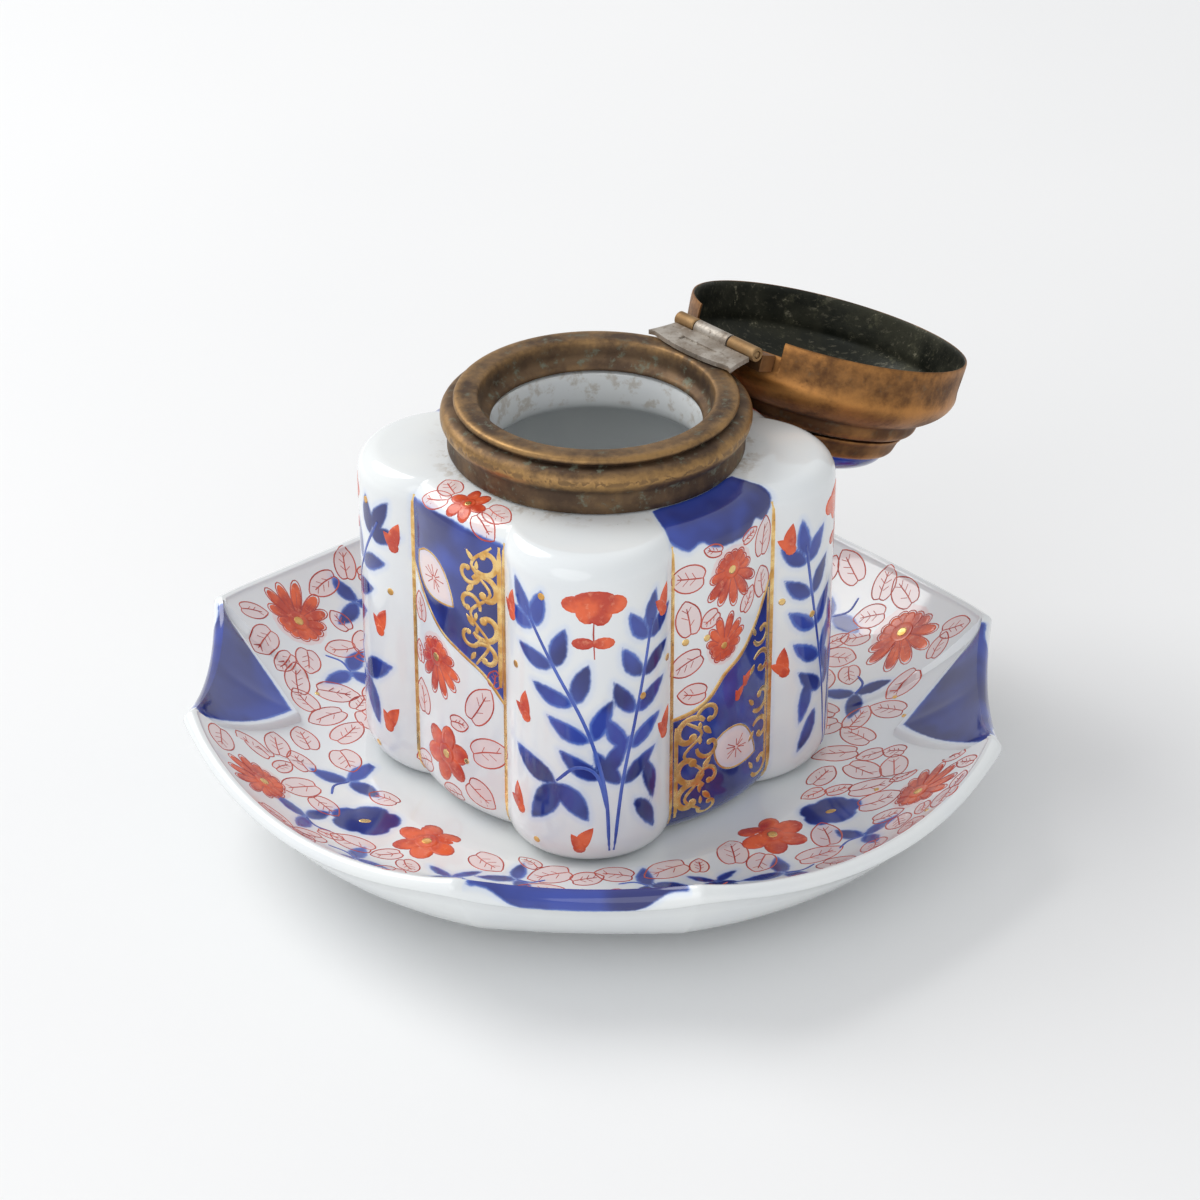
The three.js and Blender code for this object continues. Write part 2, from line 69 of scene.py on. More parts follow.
LOBE_R, LOBE_CENTRE, GROOVE_ANGLE, PANEL_APEX_R = 14.9, 27.6, 24.6 * DEG, 34.5
WELL_BOTTOM_Z, WELL_RECESS_Z, WELL_RECESS_INSET = 8.0, 9.2, 11.0
BOTTOM_INSET, BOTTOM_ROUND_Z = 5.5, 14.5
SHOULDER_ROUND, SHOULDER_Z, SHOULDER_INNER_Z = 4.2, 69.9, 70.35
CAVITY_R, CAVITY_SWELL, CAVITY_FLOOR_Z, CAVITY_ROOF_Z = 31.8, 2.7, 13.6, 66.4
NECK_OUTER_R, NECK_INNER_R, NECK_TOP_Z = 23.3, 18.9, 75.1
SKIRT_R, SKIRT_INNER_R, SKIRT_Z = 26.4, 25.4, 70.7
BEAD_R, BEAD_Z = 27.56, 77.0
FLANGE_R, FLANGE_Z = 25.2, 80.7
THROAT_TOP_R, THROAT_LIP_R, THROAT_LIP_Z = 20.85, 18.76, 76.2

HINGE_AZIMUTH, HINGE_R, HINGE_Z = 44.5 * DEG, 29.5, 82.0
KNUCKLE_R, KNUCKLE_BORE, PIN_R, BARREL_HALF = 1.35, 0.72, 0.6, 10.2
SOFT_EDGE = 0.16  # rounding of the leaf's and the strip's edges
LEFT_KNUCKLE, RIGHT_KNUCKLE = (5.45, BARREL_HALF), (-BARREL_HALF, -3.5)
LID_OPEN, LID_RIM_Z, LID_DECK = 199 * DEG, 79.4, 16.2
NOTCH_HALF, NOTCH_HEIGHT = 10.9, 2.7
LID_SHEET_R, LID_CEILING = 26.1, 15.4
NOWHERE = 400  # a drawing place far from all the painting
BEZEL_R, DOME_R, DOME_SHOWN_R = 18.2, 16.6, 15.9
DOME_BASE, DOME_TOP = 17.9, 25.9

HINGE_FRAME = (
    Matrix.Translation((HINGE_R * math.cos(HINGE_AZIMUTH), HINGE_R * math.sin(HINGE_AZIMUTH), HINGE_Z))
    @ Matrix.Rotation(HINGE_AZIMUTH, 4, "Z")
)
LID_TURN = HINGE_FRAME @ Matrix.Rotation(LID_OPEN, 4, "Y")
LID_FRAME = LID_TURN @ Matrix.Translation((-HINGE_R, 0, LID_RIM_Z - HINGE_Z))


def mix(a, b, t):
    return a + (b - a) * t


def smoothstep(x, low, high):
    t = np.clip((x - low) / (high - low), 0, 1)
    return t * t * (3 - 2 * t)


# ---------------------------------------------------------------- meshes


def piece(name, points, faces, material, body, replaces=(), place=None, sharp=50):
    """A closed piece from points in millimetres."""
    mesh = bpy.data.meshes.new(name)
    mesh.from_pydata((np.asarray(points, float) * MM).tolist(), [], faces)
    if place is not None:
        mesh.transform(Matrix.Scale(MM, 4) @ place @ Matrix.Scale(1 / MM, 4))
    bm = bmesh.new()
    bm.from_mesh(mesh)
    bmesh.ops.recalc_face_normals(bm, faces=bm.faces)
    bm.to_mesh(mesh)
    bm.free()
    return finished(mesh, material, body, replaces, sharp)


def finished(mesh, material, body, replaces, sharp):
    """The object of a mesh, smooth but for sharp edges, riding its body."""
    mesh.shade_smooth()
    mesh.set_sharp_from_angle(angle=sharp * DEG)
    for each in material if isinstance(material, (list, tuple)) else [material]:
        mesh.materials.append(each)
    made = bpy.data.objects.new(mesh.name, mesh)
    bpy.context.scene.collection.objects.link(made)
    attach(made, body)
    if replaces:
        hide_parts(*replaces)
    return made


def ring_faces(columns, rows, closed_rows):
    """Quads of a sheet of points that is closed round its columns, and along its rows if asked."""
    column = np.arange(columns)
    after = (column + 1) % columns
    faces = []
    for row in range(rows if closed_rows else rows - 1):
        here = row * columns
        there = ((row + 1) % rows) * columns
        faces += np.stack([here + column, here + after, there + after, there + column], 1).tolist()
    return faces


def loft(angles, sections):
    """Points and faces of a body swept round Z. Each section starts and ends on the axis."""
    r, z = sections[:, 1:-1, 0], sections[:, 1:-1, 1]
    turn = angles[:, None]
    sheet = np.stack([r * np.cos(turn), r * np.sin(turn), z], -1)
    columns, rows = r.shape
    points = sheet.transpose(1, 0, 2).reshape(-1, 3)
    faces = ring_faces(columns, rows, False)
    first, last = len(points), len(points) + 1
    ends = [[0, 0, sections[0, 0, 1]], [0, 0, sections[0, -1, 1]]]
    top = (rows - 1) * columns
    for i in range(columns):
        after = (i + 1) % columns
        faces.append([first, after, i])
        faces.append([last, top + i, top + after])
    return np.vstack([points, ends]), faces


def rounded(section, times):
    """The closed section with its corners cut again and again, which keeps it inside."""
    points = np.asarray(section, float)
    for _ in range(times):
        after = np.roll(points, -1, 0)
        points = np.stack([mix(points, after, 0.25), mix(points, after, 0.75)], 1).reshape(-1, 2)
    return points


def about(r, z, offsets):
    """Section points that lie about an anchor, with whatever else each offset carries."""
    return [(r + dr, z + dz, *rest) for dr, dz, *rest in offsets]


def turned(section, sides):
    """A turned ring about Z from a closed section."""
    section = np.asarray(section, float)
    angles = np.arange(sides) * TURN / sides
    r, z = section[:, 0][:, None], section[:, 1][:, None]
    sheet = np.stack([r * np.cos(angles), r * np.sin(angles), z + 0 * angles], -1)
    return sheet.reshape(-1, 3), ring_faces(sides, len(section), True)


def attribute(made, name, values):
    layer = made.data.attributes.new(name, "FLOAT", "POINT")
    layer.data.foreach_set("value", np.asarray(values, np.float32))


# ---------------------------------------------------------------- saucer and well shapes


def from_axis(angle):
    return abs(angle - QUARTER * round(angle / QUARTER))


def circle_between(a, middle_r, end_r, end_a):
    """Radius at angle a of the circle through an end at end_a from an axis and the diagonal's middle."""
    half = math.pi / 4 - end_a
    b = math.pi / 4 - a
    chord = end_r * math.sin(half)
    rise = middle_r - end_r * math.cos(half)
    radius = (chord**2 + rise**2) / (2 * rise)
    centre = middle_r - radius
    return centre * math.cos(b) + math.sqrt(radius**2 - (centre * math.sin(b)) ** 2)


def saucer_rim(a):
    """Outermost edge of the saucer at an angle from the nearest axis."""
    tip_x, tip_y = TIP_R * math.cos(TIP_ANGLE), TIP_R * math.sin(TIP_ANGLE)
    if a < TIP_ANGLE:
        x = tip_x
        for _ in range(6):
            x = tip_x - FOLD_SAG_R * (1 - (x * math.tan(a) / tip_y) ** 2)
        along = x * math.tan(a) / tip_y
        return x / math.cos(a), TIP_Z - FOLD_SAG_Z * (1 - along**2)
    b = (math.pi / 4 - a) / (math.pi / 4 - TIP_ANGLE)
    return circle_between(a, SIDE_MID_R, TIP_R, TIP_ANGLE), TIP_Z - SIDE_DIP * (1 - b * b)


def flap_edge(a):
    """Side edge of a flap at an angle from its axis: radius, height and the step below it."""
    tip = np.array([TIP_R * math.cos(TIP_ANGLE), TIP_R * math.sin(TIP_ANGLE)])
    apex = np.array([APEX_R, 0])
    normal = np.array([-tip[1], tip[0] - APEX_R]) / np.linalg.norm(tip - apex)
    s = np.linspace(0, 1, 200)
    curve = mix(apex, tip, s[:, None]) + (4 * FLAP_EDGE_BULGE * s * (1 - s))[:, None] * normal
    at = float(np.interp(a, np.arctan2(curve[:, 1], curve[:, 0]), s))
    place = mix(apex, tip, at) + 4 * FLAP_EDGE_BULGE * at * (1 - at) * normal
    z = mix(APEX_Z, TIP_Z, at) - 4 * FLAP_EDGE_SAG * at * (1 - at)
    return math.hypot(*place), z, mix(FLAP_STEP_APEX, FLAP_STEP_TIP, at)


def saucer_warp(r, angle):
    away = math.atan2(math.sin(angle - WARP_AZIMUTH), math.cos(angle - WARP_AZIMUTH))
    out = np.maximum(0, (r - UNDER_R) / (TIP_R - UNDER_R))
    return WARP * out**2 * math.exp(-((away / WARP_WIDTH) ** 2))


FLOOR_ROWS, WALL_ROWS, STEP_ROWS, FLAP_ROWS, RIM_ROWS, OUTER_ROWS = 14, 60, 4, 24, 12, 14
TOP_ROWS = FLOOR_ROWS + WALL_ROWS + STEP_ROWS + FLAP_ROWS  # from the middle of the floor to the crest


def saucer_section(angle):
    """Section of the saucer: out along the top, over the rim, and back along the underside."""
    a = from_axis(angle)
    rim_r, rim_z = saucer_rim(a)
    roll = mix(FOLD_ROUND, RIM_ROUND, smoothstep(a, 0.7 * TIP_ANGLE, 1.4 * TIP_ANGLE))
    crest = rim_r - roll
    wall = (crest - LIP_WIDTH / 2, rim_z - FLAP_STEP_TIP)
    edge = (crest - LIP_WIDTH / 4, rim_z - FLAP_STEP_TIP / 4)
    if a < TIP_ANGLE - 1e-6:
        edge_r, edge_z, step = flap_edge(a)
        if edge_r < wall[0]:
            wall = (edge_r, edge_z - step)
            edge = (edge_r + LIP_WIDTH / 2, min(edge_z, rim_z - FLAP_STEP_TIP / 4))
    steep = mix(*WALL_STEEPNESS, smoothstep(a, TIP_ANGLE, math.pi / 4))
    floor_r = np.linspace(0, FLOOR_R, FLOOR_ROWS)
    seat = (SEAT_Z - SEAT_FLOOR_Z) * smoothstep(floor_r, SEAT_FLOOR_R, SEAT_FLOOR_R + 1.4)
    floor_z = SEAT_FLOOR_Z + seat + (FLOOR_Z - SEAT_Z) * smoothstep(floor_r, FLOOR_R - 1.8, FLOOR_R)
    t = np.linspace(0, 1, WALL_ROWS + 1)[1:]
    wall_r, wall_z = mix(FLOOR_R, wall[0], t), mix(FLOOR_Z, wall[1], t**steep)
    t = np.linspace(0, 1, STEP_ROWS + 1)[1:] * QUARTER
    step_r, step_z = mix(wall[0], edge[0], 1 - np.cos(t)), mix(wall[1], edge[1], np.sin(t))
    t = np.linspace(0, 1, FLAP_ROWS + 1)[1:]
    hollow = FLAP_HOLLOW * min(1, max(0, crest - edge[0] - 1) / 12)
    flap_r, flap_z = mix(edge[0], crest, t), mix(edge[1], rim_z, t) - 4 * hollow * t * (1 - t)
    t = np.linspace(0, math.pi, RIM_ROWS + 1)[1:]
    rim = crest + roll * np.sin(t), rim_z - roll + roll * np.cos(t)
    t = np.linspace(1, 0, OUTER_ROWS)
    outer_r = mix(UNDER_R, rim[0][-1] - 0.4, t)
    outer_z = mix(UNDER_Z, rim[1][-1] - 0.3, t**OUTER_STEEPNESS)
    foot = np.array(
        about(FOOT_OUTER_R, 0, [(0.5, 2.2), (0.2, 0.8), (-0.2, 0.2), (-0.8, 0)])
        + about(FOOT_INNER_R, 0, [(0.8, 0), (0, 0.5)])
        + about(FOOT_INNER_R, FOOT_RECESS_Z, [(-0.5, -0.8), (-2, 0)])
        + [(0, FOOT_RECESS_Z)]
    )
    r = np.concatenate([floor_r, wall_r, step_r, flap_r, rim[0], outer_r, foot[:, 0]])
    z = np.concatenate([floor_z, wall_z, step_z, flap_z, rim[1], outer_z, foot[:, 1]])
    return np.stack([r, z - saucer_warp(r, angle)], 1)


def spread(starts, counts):
    """Angles round the whole turn, with its own even step between each start and the next."""
    angles = []
    for start, after, count in zip(starts, starts[1:] + [starts[0] + TURN], counts):
        angles.append(start + (after - start) * np.arange(count) / count)
    return np.concatenate(angles)


def well_outline(angle):
    a = from_axis(angle)
    if a <= GROOVE_ANGLE:
        return LOBE_CENTRE * math.cos(a) + math.sqrt(LOBE_R**2 - (LOBE_CENTRE * math.sin(a)) ** 2)
    return circle_between(a, PANEL_APEX_R, well_outline(GROOVE_ANGLE), GROOVE_ANGLE)


WELL_FOOT_ROWS, BOTTOM_ROWS, UPRIGHT_ROWS, SHOULDER_ROWS, TOP_FLAT_ROWS = 3, 14, 118, 12, 18
PAINTED_FROM = WELL_FOOT_ROWS
PAINTED_TO = WELL_FOOT_ROWS + BOTTOM_ROWS + UPRIGHT_ROWS + SHOULDER_ROWS + TOP_FLAT_ROWS


def well_section(angle):
    """Section of the well: out along its foot, up the wall, over the shoulder, and down inside."""
    r = well_outline(angle)
    inner = CAVITY_R + CAVITY_SWELL * math.cos(4 * angle)
    recess_r = r - WELL_RECESS_INSET
    foot = [(0, WELL_RECESS_Z), (recess_r, WELL_RECESS_Z), (recess_r + 1, WELL_BOTTOM_Z)]
    t = np.linspace(0, QUARTER, BOTTOM_ROWS)
    drop = BOTTOM_ROUND_Z - WELL_BOTTOM_Z
    bottom = np.stack([r - BOTTOM_INSET * (1 - np.sin(t)), BOTTOM_ROUND_Z - drop * np.cos(t)], 1)
    z = np.linspace(BOTTOM_ROUND_Z, SHOULDER_Z - SHOULDER_ROUND, UPRIGHT_ROWS + 2)[1:-1]
    upright = np.stack([r + 0 * z, z], 1)
    t = np.linspace(0, QUARTER, SHOULDER_ROWS)
    shoulder = np.stack(
        [r - SHOULDER_ROUND * (1 - np.cos(t)), SHOULDER_Z - SHOULDER_ROUND * (1 - np.sin(t))], 1)
    t = np.linspace(0, 1, TOP_FLAT_ROWS + 1)[1:, None]
    flat = mix(shoulder[-1], np.array([SKIRT_R, SHOULDER_INNER_Z]), t)
    inside = (
        about(NECK_OUTER_R, SHOULDER_INNER_Z, [(0.8, 0.2), (0, 1)])
        + about(NECK_OUTER_R, NECK_TOP_Z, [(0, -0.4), (-0.4, 0)])
        + about(NECK_INNER_R, NECK_TOP_Z, [(0.9, 0), (0.25, -0.25), (0, -0.9)])
        + about(NECK_INNER_R, CAVITY_ROOF_Z, [(0, 3.6), (0.2, 2.4), (1, 1.2), (2.2, 0.6)])
        + about(inner, CAVITY_ROOF_Z, [(-5, 0), (-2.6, -0.6), (-0.8, -2.2), (0, -5)])
        + about(inner, CAVITY_FLOOR_Z, [(0, 7), (-0.5, 4), (-2, 1.8), (-4.4, 0.5), (-8, 0)])
        + [(0, CAVITY_FLOOR_Z)]
    )
    return np.vstack([foot, bottom, upright, shoulder, flat, inside])


# ---------------------------------------------------------------- charts: flat drawing places on a surface


class Chart:
    """A sheet of surface points over even steps of two drawing coordinates, in millimetres."""

    def __init__(self, points, start, step, wraps):
        self.points = points
        self.start = np.array(start, float)
        self.step = np.array(step, float)
        self.wraps = wraps
        along = np.gradient(points, axis=0)
        up = np.gradient(points, axis=1)
        if wraps:
            along[0] = along[-1] = (points[1] - points[-2]) / 2
        normal = np.cross(along, up)
        self.normals = normal / np.maximum(np.linalg.norm(normal, axis=-1, keepdims=True), 1e-9)

    def at(self, table, places):
        """The table's value at each place, blended between the four nearest entries."""
        spot = (places - self.start) / self.step
        limit = np.array(table.shape[:2]) - 1
        if self.wraps:
            spot[:, 0] = np.mod(spot[:, 0], limit[0])
        spot = np.clip(spot, 0, limit - 1e-6)
        low = spot.astype(int)
        part = spot - low
        i, j = low[:, 0], low[:, 1]
        a, b = part[:, :1], part[:, 1:]
        return (table[i, j] * (1 - a) * (1 - b) + table[i + 1, j] * a * (1 - b)
                + table[i, j + 1] * (1 - a) * b + table[i + 1, j + 1] * a * b)


class SaucerChart(Chart):
    """Drawing places are x, y about the middle, with the radius measured along the surface."""

    STEPS, ROW = 720, 0.4

    def __init__(self):
        sheet = []
        for angle in np.linspace(0, TURN, self.STEPS + 1):
            section = saucer_section(angle)[:TOP_ROWS]
            along = arc_length(section)
            rho = np.arange(0, 84, self.ROW)
            r, z = np.interp(rho, along, section[:, 0]), np.interp(rho, along, section[:, 1])
            sheet.append(np.stack([r * math.cos(angle), r * math.sin(angle), z], 1))
        super().__init__(np.array(sheet), (0, 0), (TURN / self.STEPS, self.ROW), True)
        self.normals *= np.sign(self.normals[..., 2:])

    def lay(self, places, lift):
        polar = np.stack([np.arctan2(places[:, 1], places[:, 0]) % TURN, np.hypot(*places.T)], 1)
        return self.at(self.points, polar) + self.at(self.normals, polar) * np.reshape(lift, (-1, 1))


class WellChart(Chart):
    """Drawing places are u, round the wall, and v, up the wall and on over the shoulder."""

    SEAM, STEP, ROW = QUARTER + GROOVE_ANGLE, 0.25, 0.4

    def __init__(self):
        turns = np.linspace(0, TURN, 5761)
        angles = self.SEAM + turns
        r = np.array([well_outline(a) for a in angles])
        path = np.stack([r * np.cos(angles), r * np.sin(angles)], 1)
        self.turns, self.around = turns, arc_length(path)
        self.girth = self.around[-1]
        count = int(round(self.girth / self.STEP))
        even = np.linspace(0, self.girth, count + 1)
        v = np.arange(8, 84, self.ROW)
        sheet = []
        for turn in np.interp(even, self.around, turns):
            angle = self.SEAM + turn
            section, up = painted_section(angle)
            r, z = np.interp(v, up, section[:, 0]), np.interp(v, up, section[:, 1])
            sheet.append(np.stack([r * math.cos(angle), r * math.sin(angle), z], 1))
        super().__init__(np.array(sheet), (0, 8), (self.girth / count, self.ROW), True)

    def u_of(self, angle):
        return np.interp((angle - self.SEAM) % TURN, self.turns, self.around)

    def lay(self, places, lift):
        return self.at(self.points, places) + self.at(self.normals, places) * np.reshape(lift, (-1, 1))


def arc_length(path):
    return np.concatenate([[0], np.cumsum(np.linalg.norm(np.diff(path, axis=0), axis=1))])


def painted_section(angle):
    """The painted stretch of the well's section, and the drawing height v of each of its points."""
    section = well_section(angle)[PAINTED_FROM:PAINTED_TO]
    up = arc_length(section)
    return section, up - up[BOTTOM_ROWS - 1] + BOTTOM_ROUND_Z


# ---------------------------------------------------------------- brushwork


ENAMEL_NAMES = {"red": "red_enamel", "edge": "red_outlines", "blue": "blue_lines", "gold": "gold"}


class Painting:
    """Brushwork on one surface. Cobalt and pale washes lie under the glaze and are painted as distances
    on the mesh's own points; red and gold lie on the glaze as thin raised enamel."""

    def __init__(self, chart, places):
        self.places = places
        self.cobalt = np.full(len(places), FAR)
        self.wash = np.full(len(places), FAR)
        self.red, self.edge, self.blue, self.gold = (Enamel(chart) for _ in range(4))

    def under(self, layer, outline):
        """Adds the inside of a closed outline to an underglaze layer."""
        field = getattr(self, layer)
        self.lower(field, outline, lambda places: signed_distance(places, outline))

    def brush(self, path, width):
        """A crisp cobalt line with a soft halo on the mesh below it."""
        self.blue.stroke(path, width)
        self.lower(self.cobalt, path, lambda places: path_distance(places, path) + 0.5)

    def lower(self, field, shape, distance):
        """Lowers a layer to the distances from a shape, worked out only at places near it."""
        low, high = shape.min(0) - 3, shape.max(0) + 3
        near = np.flatnonzero(((self.places > low) & (self.places < high)).all(1))
        if len(near):
            field[near] = np.minimum(field[near], distance(self.places[near]))

    def make(self, body, enamels):
        """The enamel pieces of this surface, each in its own material."""
        for layer, material in enamels.items():
            enamel = getattr(self, layer)
            name = f"{body}_{ENAMEL_NAMES[layer]}"
            piece(name, np.vstack(enamel.points), enamel.faces, material, body, sharp=80)


def path_distance(places, path):
    best = np.full(len(places), FAR)
    for a, b in zip(path, path[1:]):
        side = b - a
        t = np.clip(((places - a) @ side) / max(side @ side, 1e-9), 0, 1)
        best = np.minimum(best, np.linalg.norm(places - a - t[:, None] * side, axis=1))
    return best


def signed_distance(places, outline):
    """Distance to a closed outline, below zero inside it."""
    loop = np.vstack([outline, outline[:1]])
    inside = np.zeros(len(places), bool)
    x, y = places.T
    for (x0, y0), (x1, y1) in zip(loop, loop[1:]):
        if y0 != y1:
            inside ^= ((y0 > y) != (y1 > y)) & (x < (x1 - x0) * (y - y0) / (y1 - y0) + x0)
    return np.where(inside, -1, 1) * path_distance(places, loop)


class Enamel:
    """Thin raised enamel: closed strokes and dabs whose edges sink just into the glaze."""

    RISE, SINK = 0.07, 0.05

    def __init__(self, chart):
        self.chart = chart
        self.points, self.faces, self.count = [], [], 0

    def _add(self, points, faces):
        self.faces += [[i + self.count for i in face] for face in faces]
        self.points.append(points)
        self.count += len(points)

    def stroke(self, path, width, closed=False):
        """A line of enamel that thins out at its ends."""
        path = np.asarray(path, float)
        if closed:
            ahead, behind = np.roll(path, -1, 0), np.roll(path, 1, 0)
            half = np.full(len(path), width / 2)
        else:
            ahead, behind = np.vstack([path[1:], path[-1:]]), np.vstack([path[:1], path[:-1]])
            half = width / 2 * np.clip(np.sin(np.linspace(0.12, 0.88, len(path)) * math.pi) * 1.8, 0.3, 1)
        run = ahead - behind
        run /= np.maximum(np.linalg.norm(run, axis=1, keepdims=True), 1e-9)
        side = np.stack([-run[:, 1], run[:, 0]], 1) * half[:, None]
        rise = self.RISE * np.minimum(1, half / 0.2)
        rows = [
            self.chart.lay(path - side, -0.01), self.chart.lay(path - side * 0.45, rise),
            self.chart.lay(path + side * 0.45, rise), self.chart.lay(path + side, -0.01),
            self.chart.lay(path, -self.SINK),
        ]
        count, sides = len(path), len(rows)
        points = np.stack(rows, 1).reshape(-1, 3)
        faces = []
        for i in range(count if closed else count - 1):
            after = (i + 1) % count
            for j in range(sides):
                k = (j + 1) % sides
                faces.append([i * sides + j, i * sides + k, after * sides + k, after * sides + j])
        if not closed:
            faces.append(list(range(sides)))
            faces.append([(count - 1) * sides + j for j in reversed(range(sides))])
        self._add(points, faces)

    def dab(self, outline, rise):
        """A filled patch of enamel whose outline can be seen from its middle."""
        outline = np.asarray(outline, float)
        middle = outline.mean(0)
        rings = [(0.35, rise), (0.7, rise), (0.94, rise), (1.0, -0.01), (0.9, -self.SINK)]
        rows = [self.chart.lay(mix(middle, outline, size), lift) for size, lift in rings]
        count = len(outline)
        ends = [self.chart.lay(middle[None], lift) for lift in (rise, -self.SINK)]
        faces = ring_faces(count, len(rings), False)
        top, bottom = count * len(rings), count * len(rings) + 1
        last = count * (len(rings) - 1)
        for i in range(count):
            after = (i + 1) % count
            faces.append([top, after, i])
            faces.append([bottom, last + i, last + after])
        self._add(np.vstack(rows + ends), faces)


# ---------------------------------------------------------------- motifs, drawn about their own origin


def placed(shape, spot, turn=0.0, size=1.0):
    """The shape turned, sized and moved to its place."""
    c, s = math.cos(turn), math.sin(turn)
    return np.asarray(shape, float) @ np.array([[c, s], [-s, c]]) * size + np.asarray(spot, float)


def leaf_shape(length, width, steps=12, bend=0.0):
    """A pointed leaf from its foot at the origin to its tip along x."""
    t = np.linspace(0, 1, steps)
    half = width / 2 * np.sin(math.pi * t**0.8) ** 0.85
    curve = bend * np.sin(math.pi * t)
    upper = np.stack([length * t, curve + half], 1)
    lower = np.stack([length * t, curve - half], 1)[::-1]
    return np.vstack([upper, lower[1:-1]])


def oval_leaf(length, width, steps=26):
    """A broad leaf, notched at its foot and pointed at its tip."""
    turn = np.linspace(0, TURN, steps, endpoint=False)
    reach = 1 + 0.16 * np.exp(-((np.minimum(turn, TURN - turn) / 0.3) ** 2))
    reach -= 0.22 * np.exp(-(((turn - math.pi) / 0.35) ** 2))
    return np.stack([length / 2 * (1 + reach * np.cos(turn)), width / 2 * reach * np.sin(turn)], 1)


def petal(length, width, steps=18):
    """A drop-shaped petal, narrow at the origin and round at its end along x."""
    turn = np.arange(steps) * TURN / steps
    along = 0.5 - 0.5 * np.cos(turn)
    return np.stack([length * along, width / 2 * np.sin(turn) * (0.35 + 0.85 * along)], 1)


def circle(radius, steps=12):
    turn = np.arange(steps) * TURN / steps
    return np.stack([radius * np.cos(turn), radius * np.sin(turn)], 1)


def curve_through(points, steps=8):
    """A smooth path through a few points."""
    p = np.asarray(points, float)
    p = np.vstack([2 * p[0] - p[1], p, 2 * p[-1] - p[-2]])
    path = []
    for a, b, c, d in zip(p, p[1:], p[2:], p[3:]):
        for t in np.arange(steps) / steps:
            path.append(0.5 * (2 * b + (c - a) * t + (2 * a - 5 * b + 4 * c - d) * t**2
                               + (3 * b - 3 * c + d - a) * t**3))
    return np.array(path + [p[-2]])


def outlined_leaf(art, spot, turn, size, draw):
    """A broad leaf in red line with a midrib and side veins, over a pale wash."""
    length = 7.6 * size * draw.uniform(0.9, 1.15)
    width = 5.4 * size * draw.uniform(0.85, 1.15)
    outline = placed(oval_leaf(length, width), spot, turn)
    art.under("wash", outline)
    art.edge.stroke(outline, 0.32, closed=True)
    rib = [[0.12 * length, 0], [0.45 * length, draw.uniform(-0.3, 0.3)], [0.86 * length, 0]]
    art.edge.stroke(placed(curve_through(rib, 4), spot, turn), 0.3)
    for along in (0.34, 0.54, 0.74):
        for side in (-1, 1):
            if draw.random() < 0.16:
                continue
            reach = width * 0.25 * math.sin(math.pi * along) * side
            vein = [[along * length, 0.1 * side], [(along + 0.13) * length, reach]]
            art.edge.stroke(placed(vein, spot, turn), 0.26)


def chrysanthemum(art, spot, turn, size, draw):
    """A red flower: long petals on one side, short ones on the other, and a gold heart."""
    art.under("wash", placed(circle(5.4 * size), spot))
    for i in range(13):
        away = TURN * (i + draw.uniform(-0.1, 0.1)) / 13
        reach = size * mix(4.4, 8.2, smoothstep(math.cos(away), -0.4, 1)) * draw.uniform(0.93, 1.07)
        shape = placed(petal(reach, 2.5 * size), spot, turn + away)
        art.red.dab(mix(shape.mean(0), shape, 0.88), 0.045 + 0.014 * (i % 3))
        art.edge.stroke(shape, 0.3, closed=True)
        art.edge.stroke([mix(np.asarray(spot), shape[9], 0.3), mix(np.asarray(spot), shape[9], 0.78)], 0.24)
    art.red.dab(placed(circle(2.1 * size), spot), 0.1)
    art.edge.stroke(placed(circle(1.5 * size, 14), spot), 0.3, closed=True)
    art.gold.dab(placed(circle(0.95 * size, 9), spot), 0.15)


def blossom(art, spot, turn, size, draw):
    """A smaller red flower with round petals."""
    art.under("wash", placed(circle(3.6 * size), spot))
    for i in range(6):
        away = turn + TURN * i / 6
        middle = np.asarray(spot) + 2.9 * size * np.array([math.cos(away), math.sin(away)])
        shape = placed(circle(1.0, 14) * [2.3 * size, 1.6 * size * draw.uniform(0.9, 1.1)], middle, away)
        art.red.dab(shape, 0.05 + 0.014 * (i % 2))
        art.edge.stroke(shape, 0.26, closed=True)
    art.red.dab(placed(circle(1.9 * size), spot), 0.09)
    art.edge.stroke(placed(circle(1.3 * size, 14), spot), 0.26, closed=True)
    art.gold.dab(placed(circle(0.8 * size, 9), spot), 0.14)


def bud(art, spot, turn, size):
    """A long red petal with a shorter one curled out from its foot."""
    art.red.dab(placed(leaf_shape(4.4 * size, 2.0 * size, 10, bend=0.35 * size), spot, turn - 0.12), 0.06)
    art.red.dab(placed(leaf_shape(3.0 * size, 1.6 * size, 9, bend=-0.3 * size), spot, turn + 0.72), 0.075)
    art.red.dab(placed(circle(0.9 * size, 10), placed([[0.4 * size, 0.1]], spot, turn)[0]), 0.085)


def cobalt_leaf(art, foot, turn, length, width):
    art.under("cobalt", placed(leaf_shape(length, width, bend=0.04 * length), foot, turn))


def cobalt_trio(art, spot, turn, size):
    """Three broad cobalt leaves from one point, on a curled stalk."""
    for away, reach in ((0, 9.8), (1.9, 8.8), (-1.7, 8.4)):
        cobalt_leaf(art, spot, turn + away, reach * size, 4.0 * size)
    stalk = placed([[0, 0], [-3.4, 1.2], [-6.6, -0.4]], spot, turn, size)
    art.brush(curve_through(stalk, 4), 0.55)


def cobalt_flower(art, spot, turn, size):
    """A broad cobalt flower head with a pale heart."""
    angles = np.arange(30) * TURN / 30
    reach = 5.2 * size * (0.84 + 0.16 * np.abs(np.cos(2.5 * angles)) ** 0.6)
    outline = np.stack([reach * 1.2 * np.cos(angles), reach * 0.95 * np.sin(angles)], 1)
    art.under("cobalt", placed(outline, spot, turn))
    art.gold.dab(placed(circle(1, 9) * [1.1 * size, 0.6 * size], spot, turn), 0.07)


